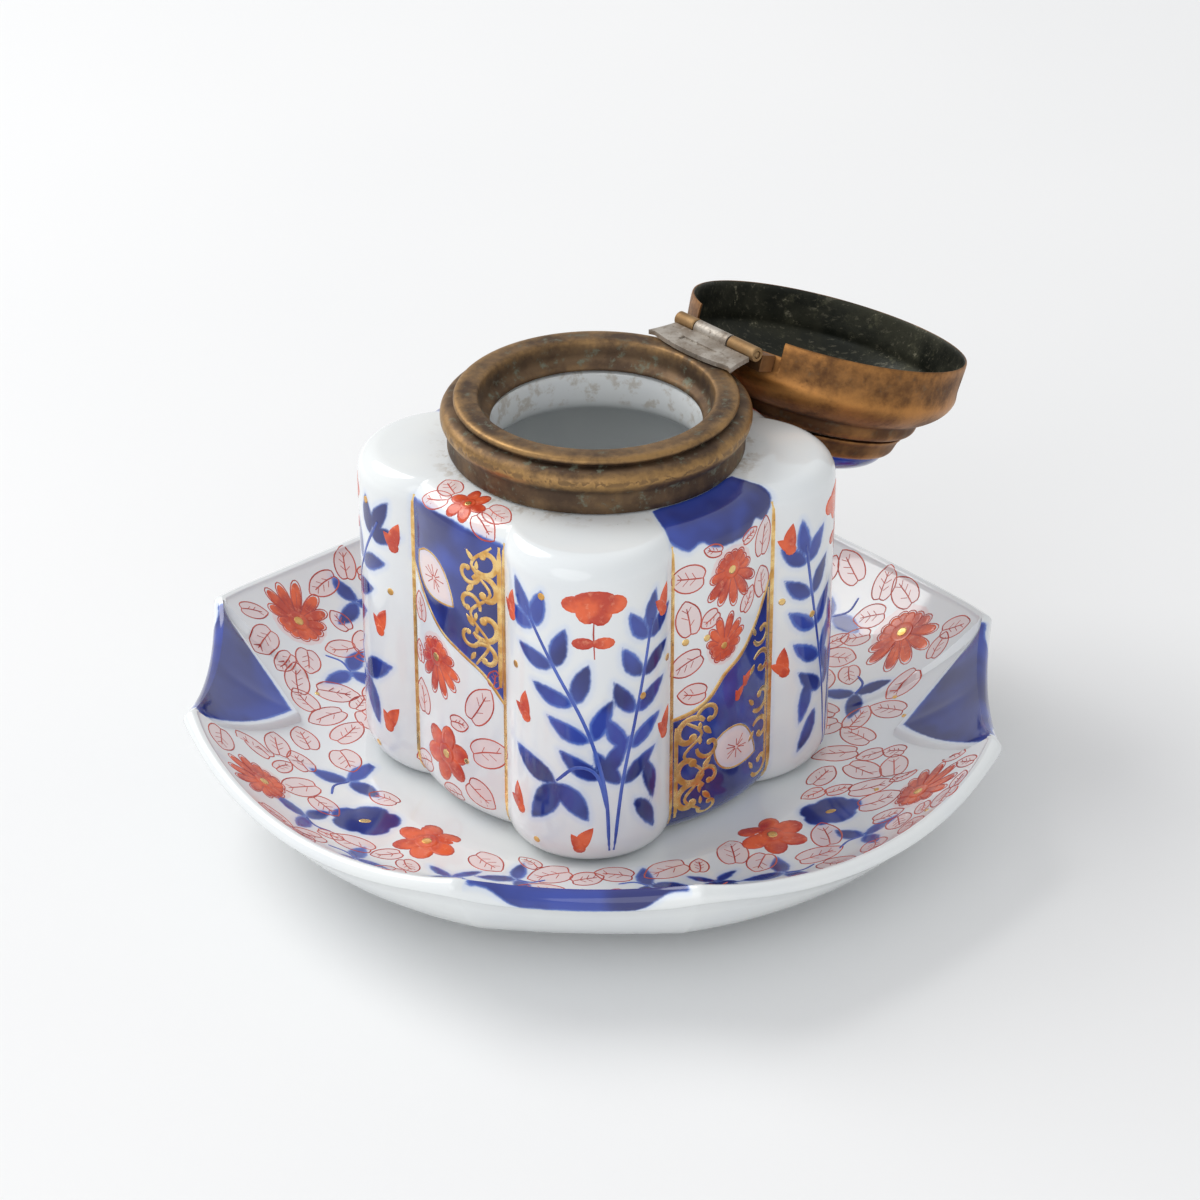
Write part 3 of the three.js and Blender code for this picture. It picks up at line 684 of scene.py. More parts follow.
def thistle(art, spot, turn, size):
    """A fan of narrow pointed petals above two leaves."""
    for i in range(7):
        away = turn + mix(-1.15, 1.15, i / 6)
        cobalt_leaf(art, spot, away, size * mix(6.4, 4.6, abs(i - 3) / 3), 1.5 * size)
    art.red.stroke(placed(curve_through([[1, -1.6], [2.3, 0], [1, 1.6]], 4), spot, turn), 0.45)
    for side in (-1, 1):
        cobalt_leaf(art, spot, turn + side * 2.3, 6.5 * size, 2.2 * size)


def spray(art, stem, length, width, leaves=5):
    """A cobalt stem through a few points with pairs of leaves, longest at its foot."""
    path = curve_through(stem, 8)
    art.brush(path, 0.72)
    along = arc_length(path)
    for i in range(leaves):
        t = mix(0.3, 0.92, i / (leaves - 1)) * along[-1]
        foot, after = (np.array([np.interp(x, along, column) for column in path.T]) for x in (t, t + 1))
        ahead = after - foot
        heading = math.atan2(ahead[1], ahead[0])
        reach = length * mix(1.05, 0.82, i / leaves)
        for side in (-1, 1):
            shift = foot + side * 0.3 * np.array([-math.sin(heading), math.cos(heading)])
            cobalt_leaf(art, shift, heading + side * 0.72, reach, width)
    last = path[-1] - path[-3]
    cobalt_leaf(art, path[-3], math.atan2(last[1], last[0]), length * 0.95, width * 0.95)


def scroll(art, spot, turn, size, hand):
    """A gold C-scroll with a curled end and a leaflet."""
    t = np.linspace(0, 1, 18)
    swing = hand * mix(0.3, 5.0, t)
    reach = size * mix(3.3, 0.9, t**1.2)
    curl = np.stack([reach * np.cos(swing), reach * np.sin(swing)], 1)
    art.gold.stroke(placed(curl, spot, turn), 1.2 * size)
    art.gold.dab(placed(circle(0.8 * size, 9), placed(curl[-1:], spot, turn)[0]), 0.09)
    leaflet = leaf_shape(2.6 * size, 1.1 * size, 6)
    art.gold.dab(placed(leaflet, placed([[2.6 * size, 0]], spot, turn)[0], turn - hand * 1.2), 0.08)


def gold_dot(art, spot, radius=0.7):
    art.gold.dab(placed(circle(radius, 9), spot), 0.08)


# ---------------------------------------------------------------- the saucer's painting


def at_polar(degrees, rho):
    return rho * np.array([math.cos(degrees * DEG), math.sin(degrees * DEG)])


FOLD_PAINT_ANGLE, FOLD_PAINT_R = 14.6 * DEG, 74  # where the cobalt of a fold ends, and at what radius
# Flowers and sprays of each quarter of the dish: kind, azimuth, distance along the surface, heading, size.
SAUCER_MOTIFS = [
    ("chrysanthemum", 154, 66.5, 105, 1.16), ("trio", 140, 64, 250, 0.85), ("trio", 157, 52, 330, 0.9),
    ("chrysanthemum", 117, 64, 110, 1.1), ("trio", 128, 53, 100, 0.9), ("flower", 103, 50, 10, 0.8),
    ("chrysanthemum", 28, 66, 275, 1.25), ("trio", 43.5, 61, 200, 0.95), ("trio", 19, 51, 260, 0.85),
    ("chrysanthemum", 65, 65, 80, 1.1), ("flower", 55, 52, 60, 0.8), ("trio", 77, 54, 120, 0.9),
    ("chrysanthemum", 205.5, 66, 200, 1.02), ("trio", 201, 47.5, 60, 0.9), ("flower", 216.5, 50, 8, 1.05),
    ("blossom", 231, 45.5, 20, 1.2), ("thistle", 244.5, 54, 262, 1.0), ("trio", 214, 61, 150, 0.8),
    ("trio", 229, 62, 330, 0.85), ("chrysanthemum", 240, 68, 240, 0.6), ("trio", 256, 49, 180, 0.75),
    ("blossom", 317, 44.8, 40, 1.25), ("flower", 332, 49, 20, 0.95), ("chrysanthemum", 337.5, 64.5, 20, 1.0),
    ("thistle", 296, 53, 285, 0.95), ("trio", 308, 57, 200, 0.85), ("chrysanthemum", 312, 68, 310, 0.66),
    ("trio", 325, 60, 30, 0.8), ("trio", 283, 50, 350, 0.8),
]
RED_FLOWERS = {"chrysanthemum": chrysanthemum, "blossom": blossom}
COBALT_MOTIFS = {"flower": cobalt_flower, "thistle": thistle, "trio": cobalt_trio}
MOTIF_ROOM = {"chrysanthemum": 6.4, "blossom": 5.2, "flower": 5.4, "thistle": 5.4, "trio": 5.2}


def paint_saucer(chart, places):
    """Flowers, sprays and outlined leaves over the four quarters of the dish."""
    art = Painting(chart, places)
    draw = np.random.default_rng(7)
    taken = []
    for kind, azimuth, rho, heading, size in SAUCER_MOTIFS:
        spot = at_polar(azimuth, rho)
        turn = heading * DEG
        if kind in RED_FLOWERS:
            RED_FLOWERS[kind](art, spot, turn, size, draw)
        else:
            COBALT_MOTIFS[kind](art, spot, turn, size)
        if kind == "chrysanthemum":
            spot = spot + 1.6 * size * np.array([math.cos(turn), math.sin(turn)])
        taken.append((*spot, MOTIF_ROOM[kind] * size))
    fill_with_leaves(art, draw, taken)
    return art


def fill_with_leaves(art, draw, taken):
    """Outlined leaves wherever there is room between the flowers, the folds and the rim."""
    for size, tries in ((1.0, 2600), (0.84, 2600), (0.66, 3000)):
        for _ in range(tries):
            azimuth, rho = draw.uniform(0, 360), draw.uniform(42.5, 77)
            spot = at_polar(azimuth, rho)
            away = from_axis(azimuth * DEG)
            flap_side = TIP_ANGLE * min(1, max(0, (rho - 55) / 22))
            gap = math.hypot(max(0, 55 - rho), rho * math.sin(max(0, away - flap_side)))
            rim_rho = mix(79, 75.6, smoothstep(away, TIP_ANGLE, 45 * DEG))
            x, y, room = np.array(taken).T
            close = np.hypot(x - spot[0], y - spot[1]) < room + 2.75 * size
            on_flap = away < TIP_ANGLE * 0.9 and rho > 60
            if on_flap or gap < 3.4 + 2.4 * size or rho > rim_rho - 3.9 or close.any():
                continue
            turn = draw.uniform(0, TURN)
            foot = spot - LEAF_REACH * size * np.array([math.cos(turn), math.sin(turn)])
            outlined_leaf(art, foot, turn, size, draw)
            taken.append((*spot, 2.9 * size))
            if draw.random() < 0.1:
                gold_dot(art, spot + 4.2 * size * np.array([math.sin(turn), math.cos(turn)]), 0.5)


def fold_cobalt(angles, arcs):
    """Distance to the cobalt on the folds for each point of the saucer: flaps and rolled edge."""
    field = np.full(arcs.shape, FAR)
    crest_row = TOP_ROWS - 1
    edge_row = FLOOR_ROWS + WALL_ROWS + STEP_ROWS - 1
    for i, angle in enumerate(angles):
        a = from_axis(angle)
        crest, edge = arcs[i, crest_row], arcs[i, edge_row]
        rim_stop = crest + mix(1.2, 4.6, smoothstep(a, 13 * DEG, 7 * DEG))
        side = (a - FOLD_PAINT_ANGLE) * FOLD_PAINT_R
        face = np.maximum(1.0 - (arcs[i] - edge), np.maximum(arcs[i] - rim_stop, side))
        if crest - edge < 1.5:  # the flap narrows to nothing here
            face = face + 1.5
        field[i] = np.clip(face, -FAR, FAR)
    return field


# ---------------------------------------------------------------- the well's painting


def paint_well(chart, places):
    art = Painting(chart, places)
    draw = np.random.default_rng(11)
    for quarter in range(4):
        u = float(chart.u_of(quarter * QUARTER - QUARTER))
        paint_lobe(art, u, 1 if quarter % 2 == 0 else -1)
        u = float(chart.u_of(quarter * QUARTER - QUARTER / 2))
        if quarter % 2 == 0:
            paint_scalloped_panel(art, u, draw)
        else:
            paint_draped_panel(art, u, draw)
        for side in (-1, 1):
            angle = quarter * QUARTER + side * GROOVE_ANGLE
            groove = [[float(chart.u_of(angle)), v] for v in np.linspace(10.5, 67.5, 40)]
            art.gold.stroke(groove, 1.05)
    return art


def paint_lobe(art, u, hand):
    """Two leafy cobalt sprays that rise from one foot, a cloud-shaped red flower and scattered buds."""

    def at(x, v):
        return [u + hand * x, v]

    def facing(degrees):
        return (degrees if hand > 0 else 180 - degrees) * DEG

    spray(art, [at(4.2, 12), at(3.4, 25), at(0, 38), at(-6, 50), at(-11.5, 59.5)], 9.0, 3.5)
    spray(art, [at(5, 12), at(6.6, 26), at(9, 38), at(11, 48), at(12.6, 57)], 8.6, 3.3)
    for degrees, reach, width in ((152, 10.4, 4.4), (240, 10.4, 4.8), (308, 9.6, 4.4)):
        cobalt_leaf(art, at(-5.3, 26), facing(degrees), reach, width)
    art.brush(curve_through([at(-5.2, 26.4), at(-1.6, 29.6), at(2, 28), at(4, 20)], 5), 0.7)
    for x, v, degrees in ((11.2, 29, -78), (9, 22, -60)):
        cobalt_leaf(art, at(x, v), facing(degrees), 9, 3.2)
    cloud = ((-1.8, 62.2, 2.4, 1.7), (0.4, 61.2, 2.2, 2.8), (2.6, 61.0, 2.2, 3.0), (5.0, 62.0, 2.4, 1.9),
             (1.6, 63.4, 3.6, 1.5))
    for x, v, width, height in cloud:
        art.red.dab(placed(circle(1, 14) * [width, height], at(x, v)), 0.06 + 0.01 * (x > 0))
    for x in (-0.4, 3.2):
        art.red.dab(placed(circle(1) * [2.0, 1.2], at(x, 54.6)), 0.07)
    art.edge.stroke([at(1.5, 59), at(1.4, 56.5), at(1.6, 51.5)], 0.34)
    buds = ((-15.4, 57.5, 95), (-11.4, 39, 100), (-13, 19.5, 110), (-1.2, 14.4, 70), (15.8, 59, 85),
            (16.4, 34, 80))
    for x, v, degrees in buds:
        bud(art, at(x, v - 2.2), facing(degrees), 1.3)
    for x, v in ((-7.9, 62.5), (-14.4, 46.5), (10.6, 42.4), (-9.4, 12.6), (17.4, 47)):
        gold_dot(art, at(x, v), 0.72)


PANEL_HALF = 12.4  # half a panel's width, along the wall
LEAF_REACH = 3.6  # from an outlined leaf's foot to its middle, at size 1


def scrolls(art, x, rows):
    """A column of gold scrolls: height, size, hand and heading of each."""
    for v, size, hand, degrees in rows:
        scroll(art, [x, v], degrees * DEG, size, hand)


def leaves_about(art, u, rows, draw):
    """Outlined leaves about a panel's middle line: place, heading and size of each middle."""
    for x, v, degrees, size in rows:
        turn = degrees * DEG
        foot = [u + x - LEAF_REACH * size * math.cos(turn), v - LEAF_REACH * size * math.sin(turn)]
        outlined_leaf(art, foot, turn, size, draw)


def gold_line(art, u, points, width):
    art.gold.stroke(curve_through([[u + x, v] for x, v in points], 6), width)


def upright(art, x, low, high, count, width):
    art.gold.stroke([[x, v] for v in np.linspace(low, high, count)], width)


def paint_draped_panel(art, u, draw):
    """Cobalt that hangs from the shoulder to a slanting edge, with gold scrolls, over red flowers."""
    edge = [[-PANEL_HALF, 55], [-8, 49.5], [-3, 45], [3, 42.5], [8, 40], [PANEL_HALF, 35]]
    edge = curve_through(edge, 6)
    area = np.vstack([edge, [[PANEL_HALF, 67.2], [0, 68.2], [-PANEL_HALF, 67.2]]])
    art.under("cobalt", area + [u, 0])
    art.gold.stroke(edge + [u, -0.2], 0.75)
    scrolls(art, u + 8.4, ((63, 1.0, 1, 200), (56.6, 1.05, -1, 160), (50, 1.05, 1, 200), (43.6, 0.9, -1, 170)))
    scrolls(art, u + 4.6, ((59.8, 0.8, -1, 20), (53.2, 0.8, 1, 330), (47, 0.75, -1, 20)))
    upright(art, u + 11.3, 38.5, 66.5, 16, 1.0)
    gold_line(art, u, ((9.8, 66), (5.4, 61.4), (9.4, 56.6), (5, 51.6), (9, 46.6), (6.2, 41.6)), 0.7)
    cartouche(art, u - 4.6, 54.6, draw)
    chrysanthemum(art, [u - 4.4, 38.6], -72 * DEG, 0.92, draw)
    blossom(art, [u - 2, 19.6], 20 * DEG, 1.15, draw)
    below = ((6.2, 32.2, 60, 1.05), (7.6, 23.6, 20, 1.0), (6.2, 14.6, -30, 0.95), (-9.6, 27.2, 100, 0.9),
             (-9.4, 14.2, 200, 0.9), (-9.8, 46, 100, 0.8), (1.2, 27.4, 10, 0.6), (-0.6, 11.8, 190, 0.8),
             (10, 39.6, 80, 0.5), (-10.4, 36.4, 100, 0.6))
    leaves_about(art, u, below, draw)
    blossom(art, [u + 0.6, 72.2], 0, 0.84, draw)
    shoulder = ((-6.6, 73, 170, 0.8), (7.2, 72.8, -15, 0.8), (-5.6, 69.8, 205, 0.8), (6.4, 69.6, -30, 0.8))
    leaves_about(art, u, shoulder, draw)
    gold_dot(art, [u + 3.4, 20.4], 0.6)


def paint_scalloped_panel(art, u, draw):
    """A cobalt scallop on the shoulder, red flowers, and a gold-edged cobalt corner with scrolls below."""
    side = PANEL_HALF + 0.6
    scallop = [[side, 79], [side, 69.5], [11, 66.6], [8.4, 65.8], [6.4, 66.8], [4, 65], [0, 64.6], [-4, 65.2],
               [-6.6, 66.8], [-9, 65.8], [-11, 66.8], [-side, 69.5], [-side, 79]]
    art.under("cobalt", curve_through(np.array(scallop) + [u, 0], 4))
    edge = [[-PANEL_HALF, 32.4], [-8, 33.2], [-4.4, 35], [-1, 38.6], [3, 41], [7, 45.6], [PANEL_HALF, 54]]
    edge = curve_through(edge, 6)
    art.under("cobalt", np.vstack([edge, [[PANEL_HALF, 9], [-PANEL_HALF, 9]]]) + [u, 0])
    art.gold.stroke(edge + [u, 0.2], 1.0)
    scrolls(art, u - 8.4, ((28.8, 1.1, 1, 20), (22, 1.1, -1, -20), (15.2, 1.1, 1, 20)))
    scrolls(art, u - 4.4, ((31.6, 0.8, -1, 200), (25.4, 0.8, 1, 160), (18.8, 0.8, -1, 200), (13, 0.7, 1, 160)))
    right = ((43, 0.9, 1, 180), (36.4, 1.0, -1, 160), (29.6, 1.0, 1, 200), (22.6, 0.95, -1, 160),
             (15.8, 0.95, 1, 190))
    scrolls(art, u + 9.2, [(v, size * 0.9, hand, degrees) for v, size, hand, degrees in right])
    upright(art, u - 11.2, 12, 31, 14, 0.9)
    upright(art, u + 11.2, 12, 51, 14, 0.9)
    gold_line(art, u, ((-10, 32), (-6, 28.4), (-9.6, 24.6), (-5.6, 20), (-9.4, 15.6), (-6, 12.4)), 0.7)
    cartouche(art, u + 2.2, 22.4, draw)
    for x, v in ((4.2, 34.4), (2.2, 32.2)):
        bud(art, [u + x, v], 60 * DEG, 0.7)
    chrysanthemum(art, [u + 0.2, 59.4], -85 * DEG, 0.92, draw)
    chrysanthemum(art, [u - 1.4, 44.8], 75 * DEG, 0.74, draw)
    above = ((-8.8, 60.4, 170, 0.95), (-9, 52, 100, 0.95), (8.8, 61.4, 80, 0.9), (8.8, 53, 100, 0.8),
             (-9, 43.6, 200, 0.95), (4.4, 51.4, 60, 0.7), (-7.6, 37, 170, 0.8), (-4.4, 51.2, 210, 0.6),
             (-3.6, 64.4, 160, 0.5), (4.4, 64.2, 20, 0.5))
    leaves_about(art, u, above, draw)
    for x, v in ((-5.2, 47.6), (-9.6, 48)):
        gold_dot(art, [u + x, v], 0.72)


def cartouche(art, x, v, draw):
    """A white leaf-shaped window in the cobalt with red pencilling."""
    outline = placed(leaf_shape(12.5, 8.4, 14), [x - 5.2, v + 3.1], -32 * DEG)
    near = signed_distance(art.places, outline)
    art.cobalt = np.maximum(art.cobalt, -near)
    art.gold.stroke(outline, 0.42, closed=True)
    art.under("wash", outline)
    for i in range(11):
        away = TURN * i / 11 + draw.uniform(-0.2, 0.2)
        way = np.array([math.cos(away), math.sin(away) * 0.8])
        middle = np.array([x, v - 0.1])
        art.edge.stroke([middle + 0.4 * way, middle + way * draw.uniform(2.0, 3.2)], 0.36)


# ---------------------------------------------------------------- material nodes


class Nodes:
    """Short names for the nodes of one material."""

    def __init__(self, name):
        self.material = bpy.data.materials.new(name)
        self.material.use_nodes = True
        self.tree = self.material.node_tree
        self.shader = self.tree.nodes["Principled BSDF"]
        self.place = self.new("ShaderNodeTexCoord").outputs["Object"]

    def new(self, kind, **settings):
        node = self.tree.nodes.new(kind)
        for key, value in settings.items():
            setattr(node, key, value)
        return node

    def give(self, socket, value):
        if isinstance(value, bpy.types.NodeSocket):
            self.tree.links.new(value, socket)
        elif isinstance(value, (tuple, list)) and len(value) == 3 and socket.type == "RGBA":
            socket.default_value = (*value, 1)
        else:
            socket.default_value = value

    def set(self, **sockets):
        for name, value in sockets.items():
            self.give(self.shader.inputs[name.replace("_", " ")], value)

    def math(self, operation, a, b=0.0):
        node = self.new("ShaderNodeMath", operation=operation)
        self.give(node.inputs[0], a)
        self.give(node.inputs[1], b)
        return node.outputs[0]

    def plus(self, a, b):
        return self.math("ADD", a, b)

    def minus(self, a, b):
        return self.math("SUBTRACT", a, b)

    def times(self, a, b):
        return self.math("MULTIPLY", a, b)

    def swing(self, noise, share):
        """A noise about zero."""
        return self.times(self.minus(noise, 0.5), share)

    def step(self, value, low, high, to_low=0.0, to_high=1.0):
        """Smooth change from one output to the other as the value goes from low to high."""
        node = self.new("ShaderNodeMapRange", interpolation_type="SMOOTHSTEP")
        self.give(node.inputs["Value"], value)
        for name, number in (("From Min", low), ("From Max", high), ("To Min", to_low), ("To Max", to_high)):
            self.give(node.inputs[name], number)
        return node.outputs[0]

    def blend(self, share, a, b):
        node = self.new("ShaderNodeMix", data_type="RGBA")
        self.give(node.inputs["Factor"], share)
        self.give(node.inputs[6], a)
        self.give(node.inputs[7], b)
        return node.outputs[2]

    def noise(self, per_mm, detail=3.0, roughness=0.5, stretch=None):
        node = self.new("ShaderNodeTexNoise")
        place = self.place
        if stretch is not None:
            mapping = self.new("ShaderNodeMapping")
            self.give(mapping.inputs["Vector"], place)
            mapping.inputs["Scale"].default_value = stretch
            place = mapping.outputs[0]
        self.give(node.inputs["Vector"], place)
        self.give(node.inputs["Scale"], per_mm / MM)
        self.give(node.inputs["Detail"], detail)
        self.give(node.inputs["Roughness"], roughness)
        return node.outputs["Fac"]

    def axes(self):
        node = self.new("ShaderNodeSeparateXYZ")
        self.give(node.inputs[0], self.place)
        return node.outputs[:]

    def attribute(self, name):
        return self.new("ShaderNodeAttribute", attribute_name=name).outputs["Fac"]

    def bump(self, height, millimetres, strength):
        node = self.new("ShaderNodeBump")
        self.give(node.inputs["Height"], height)
        node.inputs["Distance"].default_value = millimetres * MM
        node.inputs["Strength"].default_value = strength
        self.give(self.shader.inputs["Normal"], node.outputs[0])


WHITE = (0.80, 0.825, 0.825)
COBALT_DEEP = (0.010, 0.016, 0.145)
COBALT_MID = (0.028, 0.060, 0.370)
COBALT_THIN = (0.10, 0.20, 0.60)
COBALT_OPEN = (0.026, 0.034, 0.190)  # the thinner middle of a broad patch


def porcelain(name):
    """Bluish-white glaze over cobalt that bleeds softly at its edges."""
    n = Nodes(name)
    cloud = n.noise(0.06, 2)
    grain = n.noise(0.9, 3)
    base = n.blend(n.step(cloud, 0.35, 0.7), WHITE, (0.77, 0.80, 0.815))
    x, y, z = n.axes()
    from_middle = n.math("SQRT", n.plus(n.times(x, x), n.times(y, y)))
    by_collar = n.times(n.step(from_middle, 31 * MM, 26.5 * MM), n.step(z, 68 * MM, 70 * MM))
    grime = n.times(by_collar, n.step(n.noise(0.32, 4, 0.65), 0.50, 0.66, 0, 0.45))
    base = n.blend(grime, base, (0.36, 0.27, 0.16))
    speck = n.step(n.noise(0.55, 4, 0.7), 0.735, 0.765)
    base = n.blend(n.times(speck, 0.35), base, (0.20, 0.20, 0.17))
    wobble = n.swing(grain, 0.5)
    wash = n.plus(n.attribute("wash"), wobble)
    base = n.blend(n.step(wash, 0.1, -0.3, 0, 0.5), base, (0.80, 0.52, 0.50))
    blue = n.plus(n.attribute("cobalt"), wobble)
    halo = n.step(blue, 1.5, 0.0, 0, 0.30)
    base = n.blend(halo, base, (0.42, 0.55, 0.86))
    pool = n.noise(0.09, 2, 0.45)
    tone = n.blend(n.step(pool, 0.34, 0.66), COBALT_DEEP, COBALT_MID)
    tone = n.blend(n.step(blue, -2.0, -7.0, 0, 0.6), tone, COBALT_OPEN)
    thin = n.step(n.plus(blue, n.times(pool, 0.9)), -0.15, 0.45)
    tone = n.blend(n.times(thin, 0.75), tone, COBALT_THIN)
    base = n.blend(n.step(blue, 0.28, -0.22, 0, 0.985), base, tone)
    n.set(Base_Color=base, Roughness=n.step(grain, 0.3, 0.8, 0.07, 0.13), IOR=1.54)
    n.set(Coat_Weight=0.25, Coat_Roughness=0.04)
    n.bump(n.noise(0.18, 2), 0.10, 0.35)
    return n.material


def red_enamel(name, deep, light, thin):
    """Iron red that varies from deep to light, and is brushed thin in places."""
    n = Nodes(name)
    depth = n.noise(0.22, 3)
    tone = n.blend(n.step(depth, 0.36, 0.64), deep, light)
    tone = n.blend(n.step(n.noise(0.9, 3, 0.6), 0.54, 0.74, 0, 0.4), tone, thin)
    n.set(Base_Color=tone, Roughness=0.24, Coat_Weight=0.3, Coat_Roughness=0.1)
    n.bump(n.noise(3.0, 2), 0.02, 0.4)
    return n.material


def gold_enamel():
    n = Nodes("burnished_gold")
    worn = n.noise(0.35, 3, 0.55)
    tone = n.blend(n.step(worn, 0.36, 0.60), (0.70, 0.38, 0.11), (0.90, 0.64, 0.27))
    rubbed = n.step(n.noise(0.8, 4, 0.65), 0.64, 0.72, 0, 0.75)
    tone = n.blend(rubbed, tone, (0.22, 0.10, 0.05))
    n.set(Base_Color=tone, Metallic=n.minus(1.0, n.times(rubbed, 0.6)))
    n.set(Roughness=n.step(worn, 0.35, 0.7, 0.34, 0.22))
    n.bump(n.noise(2.4, 3), 0.04, 0.5)
    return n.material


def aged_brass(name, dark, brown, rubbed, green):
    """Brown patina rubbed through to warmer metal where the mesh's wear is high; on the lid's cap, the high
    wear of the shoulder is partly real wear and partly a painted highlight.
    """
    n = Nodes(name)
    broad = n.noise(0.14, 4, 0.6)
    fine = n.noise(0.9, 5, 0.65)
    wear = n.plus(n.attribute("wear"), n.swing(fine, 0.8))
    wear = n.plus(wear, n.swing(broad, 0.9))
    tone = n.blend(n.step(broad, 0.35, 0.65), dark, brown)
    tone = n.blend(n.step(wear, 0.15, 1.15, 0, 0.9), tone, rubbed)
    verdigris = n.times(n.step(n.noise(0.42, 5, 0.7), 0.54, 0.66), green)
    verdigris = n.times(verdigris, n.step(wear, 0.6, 0.1))
    tone = n.blend(verdigris, tone, (0.155, 0.175, 0.125))
    chased = n.attribute("chased")
    marks = n.times(n.step(n.noise(0.62, 2, 0.5), 0.46, 0.54), chased)
    tone = n.blend(n.times(marks, 0.55), tone, dark)
    pits = n.step(n.noise(1.9, 4, 0.7), 0.63, 0.70)
    tone = n.blend(n.times(pits, 0.45), tone, (0.045, 0.032, 0.022))
    n.set(Base_Color=tone, Metallic=n.minus(0.95, n.times(verdigris, 0.8)))
    rough = n.plus(n.step(wear, 0.2, 1.0, 0.52, 0.34), n.times(fine, 0.14))
    n.set(Roughness=rough)
    height = n.minus(n.times(fine, 0.5), n.times(pits, 0.4))
    n.bump(n.minus(height, n.times(marks, 1.4)), 0.12, 0.5)
    return n.material


def lid_lining():
    """Ink-blackened inside of the lid with pale scratches and green bloom."""
    n = Nodes("ink_stained_brass")
    broad = n.noise(0.11, 4, 0.6)
    tone = n.blend(n.step(broad, 0.35, 0.65), (0.012, 0.014, 0.009), (0.042, 0.042, 0.026))
    bloom = n.step(n.noise(0.28, 6, 0.72), 0.54, 0.70)
    tone = n.blend(n.times(bloom, 0.5), tone, (0.16, 0.155, 0.095))
    scratch = n.step(n.noise(0.9, 5, 0.7, stretch=(0.5, 1.8, 1.0)), 0.56, 0.64)
    tone = n.blend(n.times(scratch, n.plus(n.times(bloom, 0.6), 0.12)), tone,
                   (0.55, 0.50, 0.36))
    n.set(Base_Color=tone, Metallic=0.55, Roughness=n.step(broad, 0.3, 0.7, 0.38, 0.62))
    n.bump(n.noise(0.8, 5, 0.7), 0.12, 0.5)
    return n.material


def soldered():
    n = Nodes("solder_greyed_brass")
    broad = n.noise(0.22, 4, 0.6)
    fine = n.noise(1.3, 5, 0.65)
    tone = n.blend(n.step(broad, 0.38, 0.62), (0.30, 0.255, 0.21), (0.46, 0.42, 0.37))
    tone = n.blend(n.step(fine, 0.55, 0.70, 0, 0.7), tone, (0.14, 0.095, 0.065))
    tone = n.blend(n.step(n.noise(0.6, 3), 0.60, 0.72, 0, 0.5), tone, (0.62, 0.60, 0.55))
    n.set(Base_Color=tone, Metallic=0.7, Roughness=n.step(fine, 0.3, 0.7, 0.42, 0.66))
    n.bump(n.noise(0.7, 5, 0.65), 0.16, 0.6)
    return n.material


def plaster():
    n = Nodes("dry_plaster")
    fine = n.noise(1.2, 5, 0.7)
    n.set(Base_Color=n.blend(n.step(fine, 0.3, 0.7), (0.58, 0.53, 0.44), (0.76, 0.72, 0.64)), Roughness=0.95)
    n.bump(fine, 0.15, 0.6)
    return n.material


def cobalt_glaze(name, deep, light):
    n = Nodes(name)
    pool = n.noise(0.12, 3, 0.6)
    tone = n.blend(n.step(pool, 0.35, 0.65), deep, light)
    n.set(Base_Color=tone, Roughness=n.step(n.noise(0.9), 0.3, 0.8, 0.07, 0.13), IOR=1.54)
    n.set(Coat_Weight=0.3, Coat_Roughness=0.04)
    n.bump(n.noise(0.2, 2), 0.08, 0.3)
    return n.material


# ---------------------------------------------------------------- the pieces


def make_saucer(glaze, enamels):
    folds = [k * QUARTER + side * TIP_ANGLE for k in range(4) for side in (-1, 1)]
    angles = spread(folds, [50, 118] * 4)
    sections = np.array([saucer_section(a) for a in angles])
    arcs = np.array([arc_length(s) for s in sections])
    points, faces = loft(angles, sections)
    made = piece("saucer_glazed", points, faces, glaze, "saucer", ["saucer"])
    chart = SaucerChart()
    rho = arcs[:, 1:-1].copy()
    rho[:, TOP_ROWS - 1:] = NOWHERE  # beyond the crest nothing is drawn but the folds' own cobalt
    places = np.stack([rho * np.cos(angles[:, None]), rho * np.sin(angles[:, None])], -1)
    places = places.transpose(1, 0, 2).reshape(-1, 2)
    art = paint_saucer(chart, places)
    folded = fold_cobalt(angles, arcs)[:, 1:-1].T.reshape(-1)
    attribute(made, "cobalt", np.append(np.minimum(art.cobalt, folded), [FAR, FAR]))
    attribute(made, "wash", np.append(art.wash, [FAR, FAR]))
    art.make("saucer", enamels)


def make_well(glaze, enamels):
    grooves = [k * QUARTER + side * GROOVE_ANGLE for k in range(4) for side in (-1, 1)]
    angles = spread(grooves, [74, 50] * 4)
    sections = np.array([well_section(a) for a in angles])
    points, faces = loft(angles, sections)
    made = piece("well_glazed", points, faces, glaze, "well", ["well_body"], sharp=35)
    chart = WellChart()
    heights = np.full(sections.shape[:2], -float(NOWHERE))
    for i, angle in enumerate(angles):
        heights[i, PAINTED_FROM:PAINTED_TO] = painted_section(angle)[1]
    around = chart.u_of(angles)[:, None] + 0 * heights
    places = np.stack([around, heights], -1)[:, 1:-1].transpose(1, 0, 2).reshape(-1, 2)
    art = paint_well(chart, places)
    attribute(made, "cobalt", np.append(art.cobalt, [FAR, FAR]))
    attribute(made, "wash", np.append(art.wash, [FAR, FAR]))
    art.make("well", enamels)


def worn_ring(name, section, material, body, replaces, place=None, sides=180):
    """A turned brass ring whose section points each carry how rubbed they are."""
    table = np.array(section)
    worn = rounded(table[:, [2, 2]], 1)[:, 0]
    points, faces = turned(rounded(table[:, :2], 1), sides)
    made = piece(name, points, faces, material, body, replaces, place, sharp=60)
    attribute(made, "wear", np.repeat(worn, sides))
    attribute(made, "chased", np.repeat(smoothstep(worn, 0.78, 0.95), sides) * (name == "collar_ring"))


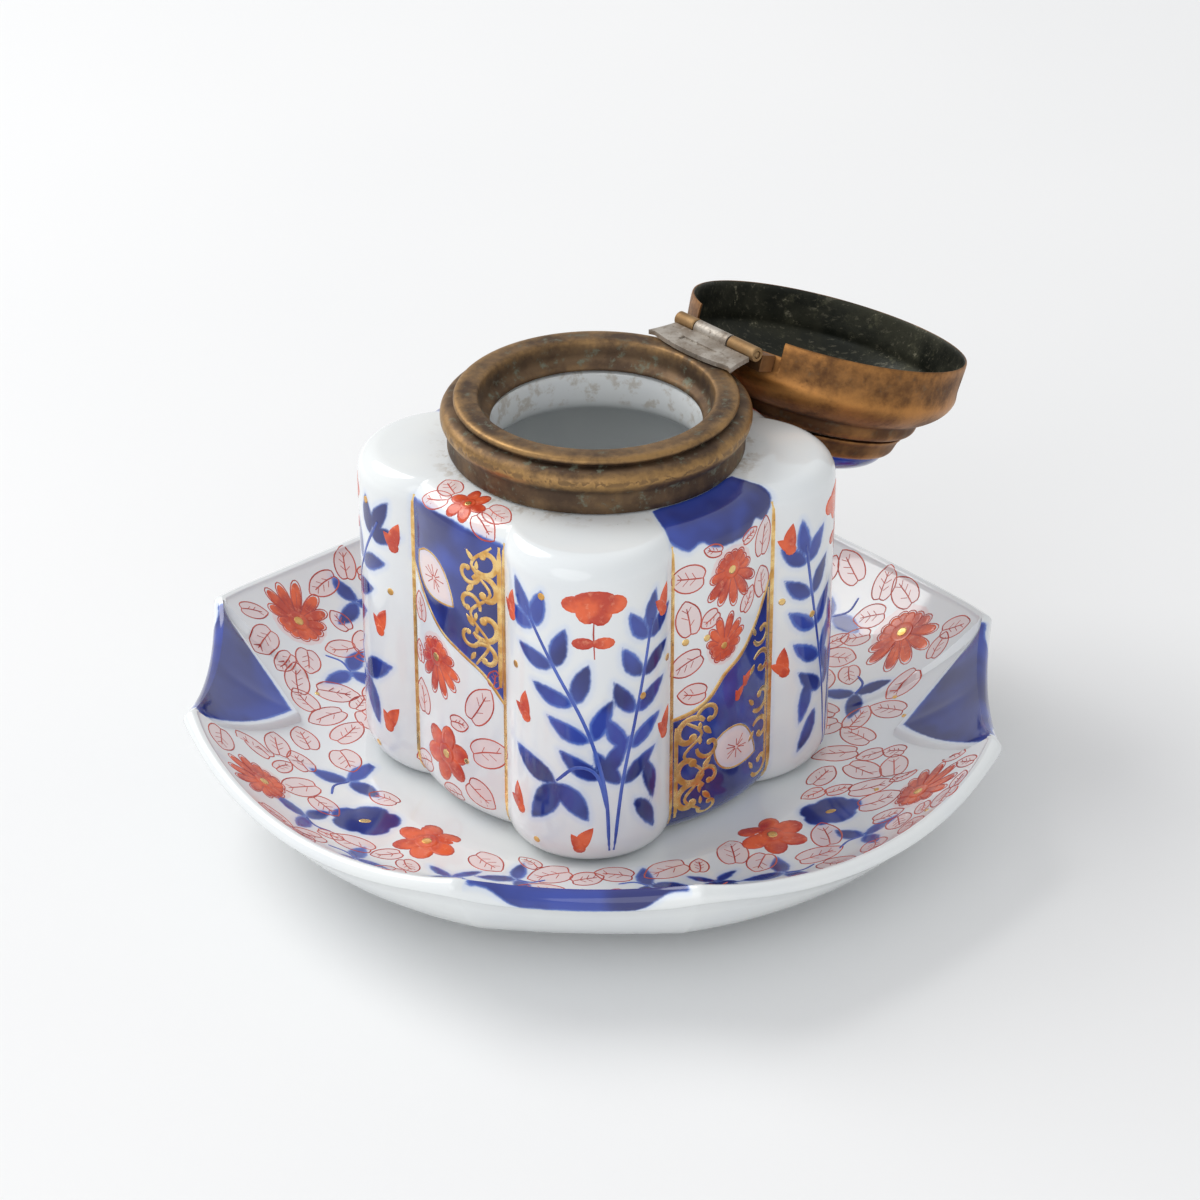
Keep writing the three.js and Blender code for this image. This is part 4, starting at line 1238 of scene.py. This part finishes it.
# Sections of the brass: radius, height, and how rubbed the metal is there.
COLLAR_SECTION = (
    [(SKIRT_INNER_R, SKIRT_Z, 0), (SKIRT_R, SKIRT_Z, 0.2)]
    + about(SKIRT_R, BEAD_Z, [(0, -4.4, 0.2), (0, -2.4, 0.1)])
    + about(BEAD_R, BEAD_Z, [(-0.75, -1.9, 0.35), (-0.1, -0.9, 0.8), (0.05, 0, 1), (-0.1, 0.9, 0.8)])
    + about(BEAD_R, BEAD_Z, [(-0.9, 1.7, 0.4), (-1.6, 1.95, 0.1)])
    + about(FLANGE_R, BEAD_Z, [(-0.6, 2.05, -0.2), (-0.6, 2.35, -0.2)])
    + about(FLANGE_R, FLANGE_Z, [(0, -1.1, 0.3), (0, -0.4, 0.8), (-0.5, 0, 0.8)])
    + [(mix(FLANGE_R, THROAT_TOP_R, 0.5), FLANGE_Z, 0.25)]
    + about(THROAT_TOP_R, FLANGE_Z, [(0.4, 0, 0.5), (0, -0.4, 0.6), (-0.4, -2.1, 0.1)])
    + about(THROAT_LIP_R, THROAT_LIP_Z, [(1.5, 0.9, -0.2), (0, 0, 0.4)])
    + [(THROAT_LIP_R, NECK_TOP_Z + 0.3, 0), (SKIRT_INNER_R, NECK_TOP_Z + 0.3, 0)]
)
BEZEL_SECTION = (
    about(BEZEL_R, LID_DECK, [(-1.1, 0.3, 0), (0.3, 0.3, 0.5), (0.25, 0.8, 0.6), (-0.25, 1.3, 0.2)])
    + about(BEZEL_R, LID_DECK, [(-0.7, 2.8, 0.3), (-1, 3.6, 0.7), (-1.6, 4.2, 0.9)])
    + about(DOME_SHOWN_R, LID_DECK, [(0.3, 4.2, 0.5), (0.3, 3.7, 0)])
    + about(BEZEL_R, LID_DECK, [(-1.2, 3.3, 0)])
)
CAP_INNER = [
    (25.8, 0), (25.6, 3.2), (25.4, 6), (25.6, 7.4), (25, 8.9), (23.8, 10.3), (21.8, 11.8), (19.9, 13.2),
    (19.6, 14.7), (18, LID_CEILING), (9, LID_CEILING),
]
# outer face of the cap: radius, height and wear; the high wear on the shoulder paints lighter rubbed metal
# that is partly real wear and partly a painted highlight
CAP_OUTER = [
    (9, LID_DECK, 0.2), (18.9, LID_DECK, 0.3), (19.9, 15.6, 0.6), (20.4, 14.8, 0.4), (20.6, 13.4, 0.1),
    (20.9, 12.9, 0), (22.3, 12.4, 0.5), (24.3, 10.9, 0.6), (25.6, 9.3, 0.8), (26.25, 7.6, 1), (26, 6, 0.5),
    (26.2, 3.2, 0.3), (26.4, 0, 0.8),
]


def make_lid_shell(brass, lining):
    """The spun cap as a turned sheet whose rim is raised over the hinge's notch."""
    rim = len(CAP_INNER)
    lining_rows = [(0, LID_CEILING, 0)] + [(*p, 0) for p in CAP_INNER[::-1]]
    section = np.array(lining_rows + CAP_OUTER[::-1] + [(0, LID_DECK, 0.2)])
    dense = [section[0]]
    for a, b in zip(section, section[1:]):
        for t in np.linspace(0, 1, 5)[1:]:
            dense.append(mix(a, b, t))
    dense = np.array(dense)
    smooth = dense.copy()
    for _ in range(3):
        smooth[1:-1] = mix(smooth[1:-1], (smooth[:-2] + smooth[2:]) / 2, 0.5)
    turn_rows = 4 * rim
    smooth[0, 0] = smooth[-1, 0] = 0
    notch = math.asin(NOTCH_HALF / LID_SHEET_R)
    corners = [side + gap for side in (notch, TURN - notch) for gap in (-1e-4, 1e-4)]
    angles = np.sort(np.concatenate([np.linspace(0, TURN, 200, endpoint=False), corners]))
    sections = []
    for angle in angles:
        low = NOTCH_HEIGHT if min(angle, TURN - angle) < notch else 0.0
        here = smooth[:, :2].copy()
        near = here[:, 1] < 6
        here[near, 1] = mix(low, 6, here[near, 1] / 6)
        sections.append(here)
    points, faces = loft(angles, np.array(sections))
    materials = [brass, lining]
    made = piece("lid_cap", points, faces, materials, "lid", ["lid_shell"], LID_FRAME, 60)
    # the cap's wear, whose lighter shoulder band is partly real wear and partly a painted highlight
    worn = np.repeat(smooth[1:-1, 2], len(angles))
    attribute(made, "wear", np.append(worn, [0, 0.2]))
    lined = (turn_rows + 1) * len(angles)
    for face in made.data.polygons:
        if max(face.vertices) < lined or len(points) - 2 in face.vertices[:]:
            face.material_index = 1


def tube(name, section, sides, body, material, replaces, place):
    """A piece of the hinge turned about Y from a closed section."""
    points, faces = turned(section, sides)
    place = place @ Matrix.Rotation(-QUARTER, 4, "X")
    piece(name, points, faces, material, body, [replaces], place)


def knuckle(name, span, material, replaces):
    """A hinge barrel with rounded ends."""
    low, high = span
    section = [(KNUCKLE_BORE, low)] + about(KNUCKLE_R, low, [(-0.1, 0), (0, 0.12), (0, 0.5)])
    section += about(KNUCKLE_R, high, [(0, -0.5), (0, -0.12), (-0.1, 0)]) + [(KNUCKLE_BORE, high)]
    tube(name, section, 40, "lid", material, replaces, LID_TURN)


def softened(node, name, material, body):
    """The frame's own piece with its edges rounded and its faces divided for fine shading."""
    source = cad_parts[node].data
    bm = bmesh.new()
    bm.from_mesh(source)
    bmesh.ops.remove_doubles(bm, verts=bm.verts, dist=1e-6)
    bmesh.ops.dissolve_limit(bm, angle_limit=2 * DEG, verts=bm.verts, edges=bm.edges)
    edges = [e for e in bm.edges if e.is_manifold and e.calc_face_angle(0) > 45 * DEG]
    bmesh.ops.bevel(bm, geom=edges, offset=SOFT_EDGE * MM, segments=3, profile=0.6,
                      affect="EDGES", clamp_overlap=True)
    bmesh.ops.triangulate(bm, faces=bm.faces)
    bmesh.ops.recalc_face_normals(bm, faces=bm.faces)
    mesh = bpy.data.meshes.new(name)
    bm.to_mesh(mesh)
    bm.free()
    finished(mesh, material, body, [node], 35)


def make_hinge(bright, solder, strip):
    softened("collar_hinge_leaf", "hinge_leaf", solder, "well")
    softened("lid_hinge_strip", "lid_strip", strip, "lid")
    knuckle("knuckle_left", LEFT_KNUCKLE, bright, "lid_knuckle_left")
    knuckle("knuckle_right", RIGHT_KNUCKLE, bright, "lid_knuckle_right")
    section = [(0.001, -BARREL_HALF)] + about(PIN_R, -BARREL_HALF, [(-0.15, 0), (0, 0.15)])
    section += about(PIN_R, BARREL_HALF, [(0, -0.15), (-0.15, 0)]) + [(0.001, BARREL_HALF)]
    tube("pin", section, 28, "well", bright, "hinge_pin", HINGE_FRAME)


def make_lid_top(brass, glaze, bedding):
    """Bezel, bedding and the porcelain dome on top of the lid."""
    worn_ring("bezel", BEZEL_SECTION, brass, "lid", ["lid_bezel"], LID_FRAME)
    spring = LID_DECK + 4
    rows = [(0, DOME_BASE)] + about(DOME_R, DOME_BASE, [(-0.4, 0), (0, 0.3), (0, 0.8)])
    rows.append((DOME_SHOWN_R, DOME_BASE + 1.4))
    for turn in np.linspace(0, QUARTER, 28):
        rows.append((DOME_SHOWN_R * math.cos(turn), spring + (DOME_TOP - spring) * math.sin(turn)))
    rows[-1] = (0, DOME_TOP)
    angles = np.arange(120) * TURN / 120
    points, faces = loft(angles, np.array([rows] * 120))
    piece("dome", points, faces, glaze, "lid", ["lid_dome"], LID_FRAME)
    bed_r, low, high = BEZEL_R - 1.5, LID_DECK + 0.3, DOME_BASE - 0.3
    disc = [(0, low), (BEZEL_R - 1.8, low), (bed_r, LID_DECK + 0.6), (bed_r, DOME_BASE - 0.6)]
    disc += [(BEZEL_R - 1.8, high), (0, high)]
    points, faces = loft(angles, np.array([disc] * 120))
    piece("dome_bedding", points, faces, bedding, "lid", ["lid_bedding"], LID_FRAME)


def make_collar(brass, bed):
    worn_ring("collar_ring", COLLAR_SECTION, brass, "well", ["collar"], sides=220)
    low = SHOULDER_INNER_Z + 1.05
    inner, outer = NECK_OUTER_R + 0.3, SKIRT_INNER_R - 0.3
    section = [(inner, low), (outer, low), (outer, NECK_TOP_Z), (inner, NECK_TOP_Z)]
    points, faces = turned(rounded(section, 2), 90)
    piece("bed_ring", points, faces, bed, "well", ["collar_bed"], sharp=60)


# ---------------------------------------------------------------- stage


def area_light(name, place, target, size, watts, colour=(1, 1, 1)):
    data = bpy.data.lights.new(name, "AREA")
    data.shape = "DISK"
    data.size = size
    data.energy = watts
    data.color = colour
    lamp = bpy.data.objects.new(name, data)
    lamp.location = place
    lamp.rotation_euler = (Vector(target) - Vector(place)).to_track_quat("-Z", "Y").to_euler()
    bpy.context.scene.collection.objects.link(lamp)


def make_stage():
    n = Nodes("pale_floor")
    tone = n.blend(n.step(n.noise(0.004, 2), 0.3, 0.7), (0.83, 0.835, 0.84), (0.85, 0.853, 0.856))
    n.set(Base_Color=tone, Roughness=0.6, Specular_IOR_Level=0.2)
    mesh = bpy.data.meshes.new("floor")
    mesh.from_pydata([(-4, -4, 0), (4, -4, 0), (4, 4, 0), (-4, 4, 0)], [], [(0, 1, 2, 3)])
    floor = bpy.data.objects.new("floor", mesh)
    mesh.materials.append(n.material)
    bpy.context.scene.collection.objects.link(floor)
    world = bpy.data.worlds.new("studio")
    world.use_nodes = True
    world.node_tree.nodes["Background"].inputs["Color"].default_value = (0.985, 0.99, 1.0, 1)
    world.node_tree.nodes["Background"].inputs["Strength"].default_value = 0.70
    bpy.context.scene.world = world
    area_light("window", (-0.85, 0.45, 1.0), (0, 0, 0.03), 1.0, 9.5, (1.0, 0.995, 0.98))
    area_light("fill", (-0.45, -1.15, 0.55), (0, 0, 0.03), 1.2, 4.5, (0.98, 0.99, 1.0))


CAMERA_AZIMUTH, CAMERA_ELEVATION, CAMERA_DISTANCE = 2.5 * DEG, 30.113 * DEG, 0.690
CAMERA_TARGET_Z, CAMERA_TARGET_RIGHT = 0.0386, 0.00066
LENS_MM, SENSOR_MM = 114.26, 36.0


def make_camera():
    back = Vector((
        math.sin(CAMERA_AZIMUTH) * math.cos(CAMERA_ELEVATION),
        -math.cos(CAMERA_AZIMUTH) * math.cos(CAMERA_ELEVATION),
        math.sin(CAMERA_ELEVATION),
    ))
    right = Vector((math.cos(CAMERA_AZIMUTH), math.sin(CAMERA_AZIMUTH), 0))
    target = right * CAMERA_TARGET_RIGHT + Vector((0, 0, CAMERA_TARGET_Z))
    data = bpy.data.cameras.new("camera")
    data.lens = LENS_MM
    data.sensor_width = SENSOR_MM
    camera = bpy.data.objects.new("camera", data)
    camera.location = target + back * CAMERA_DISTANCE
    camera.rotation_euler = back.to_track_quat("Z", "Y").to_euler()
    bpy.context.scene.collection.objects.link(camera)
    bpy.context.scene.camera = camera


def main():
    bpy.context.scene.view_settings.view_transform = "Standard"
    make_camera()
    make_stage()
    painted = porcelain("painted_porcelain")
    red = red_enamel("iron_red_enamel", (0.52, 0.045, 0.018), (0.80, 0.125, 0.035), (0.88, 0.36, 0.20))
    line = red_enamel("iron_red_line", (0.40, 0.035, 0.025), (0.56, 0.085, 0.055), (0.66, 0.24, 0.17))
    blue = cobalt_glaze("cobalt_line", (0.030, 0.060, 0.330), (0.075, 0.140, 0.520))
    enamels = {"red": red, "edge": line, "blue": blue, "gold": gold_enamel()}
    brass = aged_brass("brown_brass", (0.10, 0.066, 0.046), (0.19, 0.124, 0.074), (0.44, 0.26, 0.10), 0.75)
    cap = aged_brass("orange_brown_brass", (0.12, 0.058, 0.028), (0.26, 0.13, 0.052), (0.52, 0.24, 0.07), 0.25)
    bright = aged_brass("rubbed_brass", (0.28, 0.17, 0.08), (0.40, 0.26, 0.13), (0.62, 0.45, 0.25), 0.1)
    dry = plaster()
    make_saucer(painted, enamels)
    make_well(painted, enamels)
    make_collar(brass, dry)
    make_hinge(bright, soldered(), cap)
    make_lid_shell(cap, lid_lining())
    make_lid_top(cap, cobalt_glaze("cobalt_dome", (0.008, 0.018, 0.20), (0.022, 0.055, 0.40)), dry)


main()
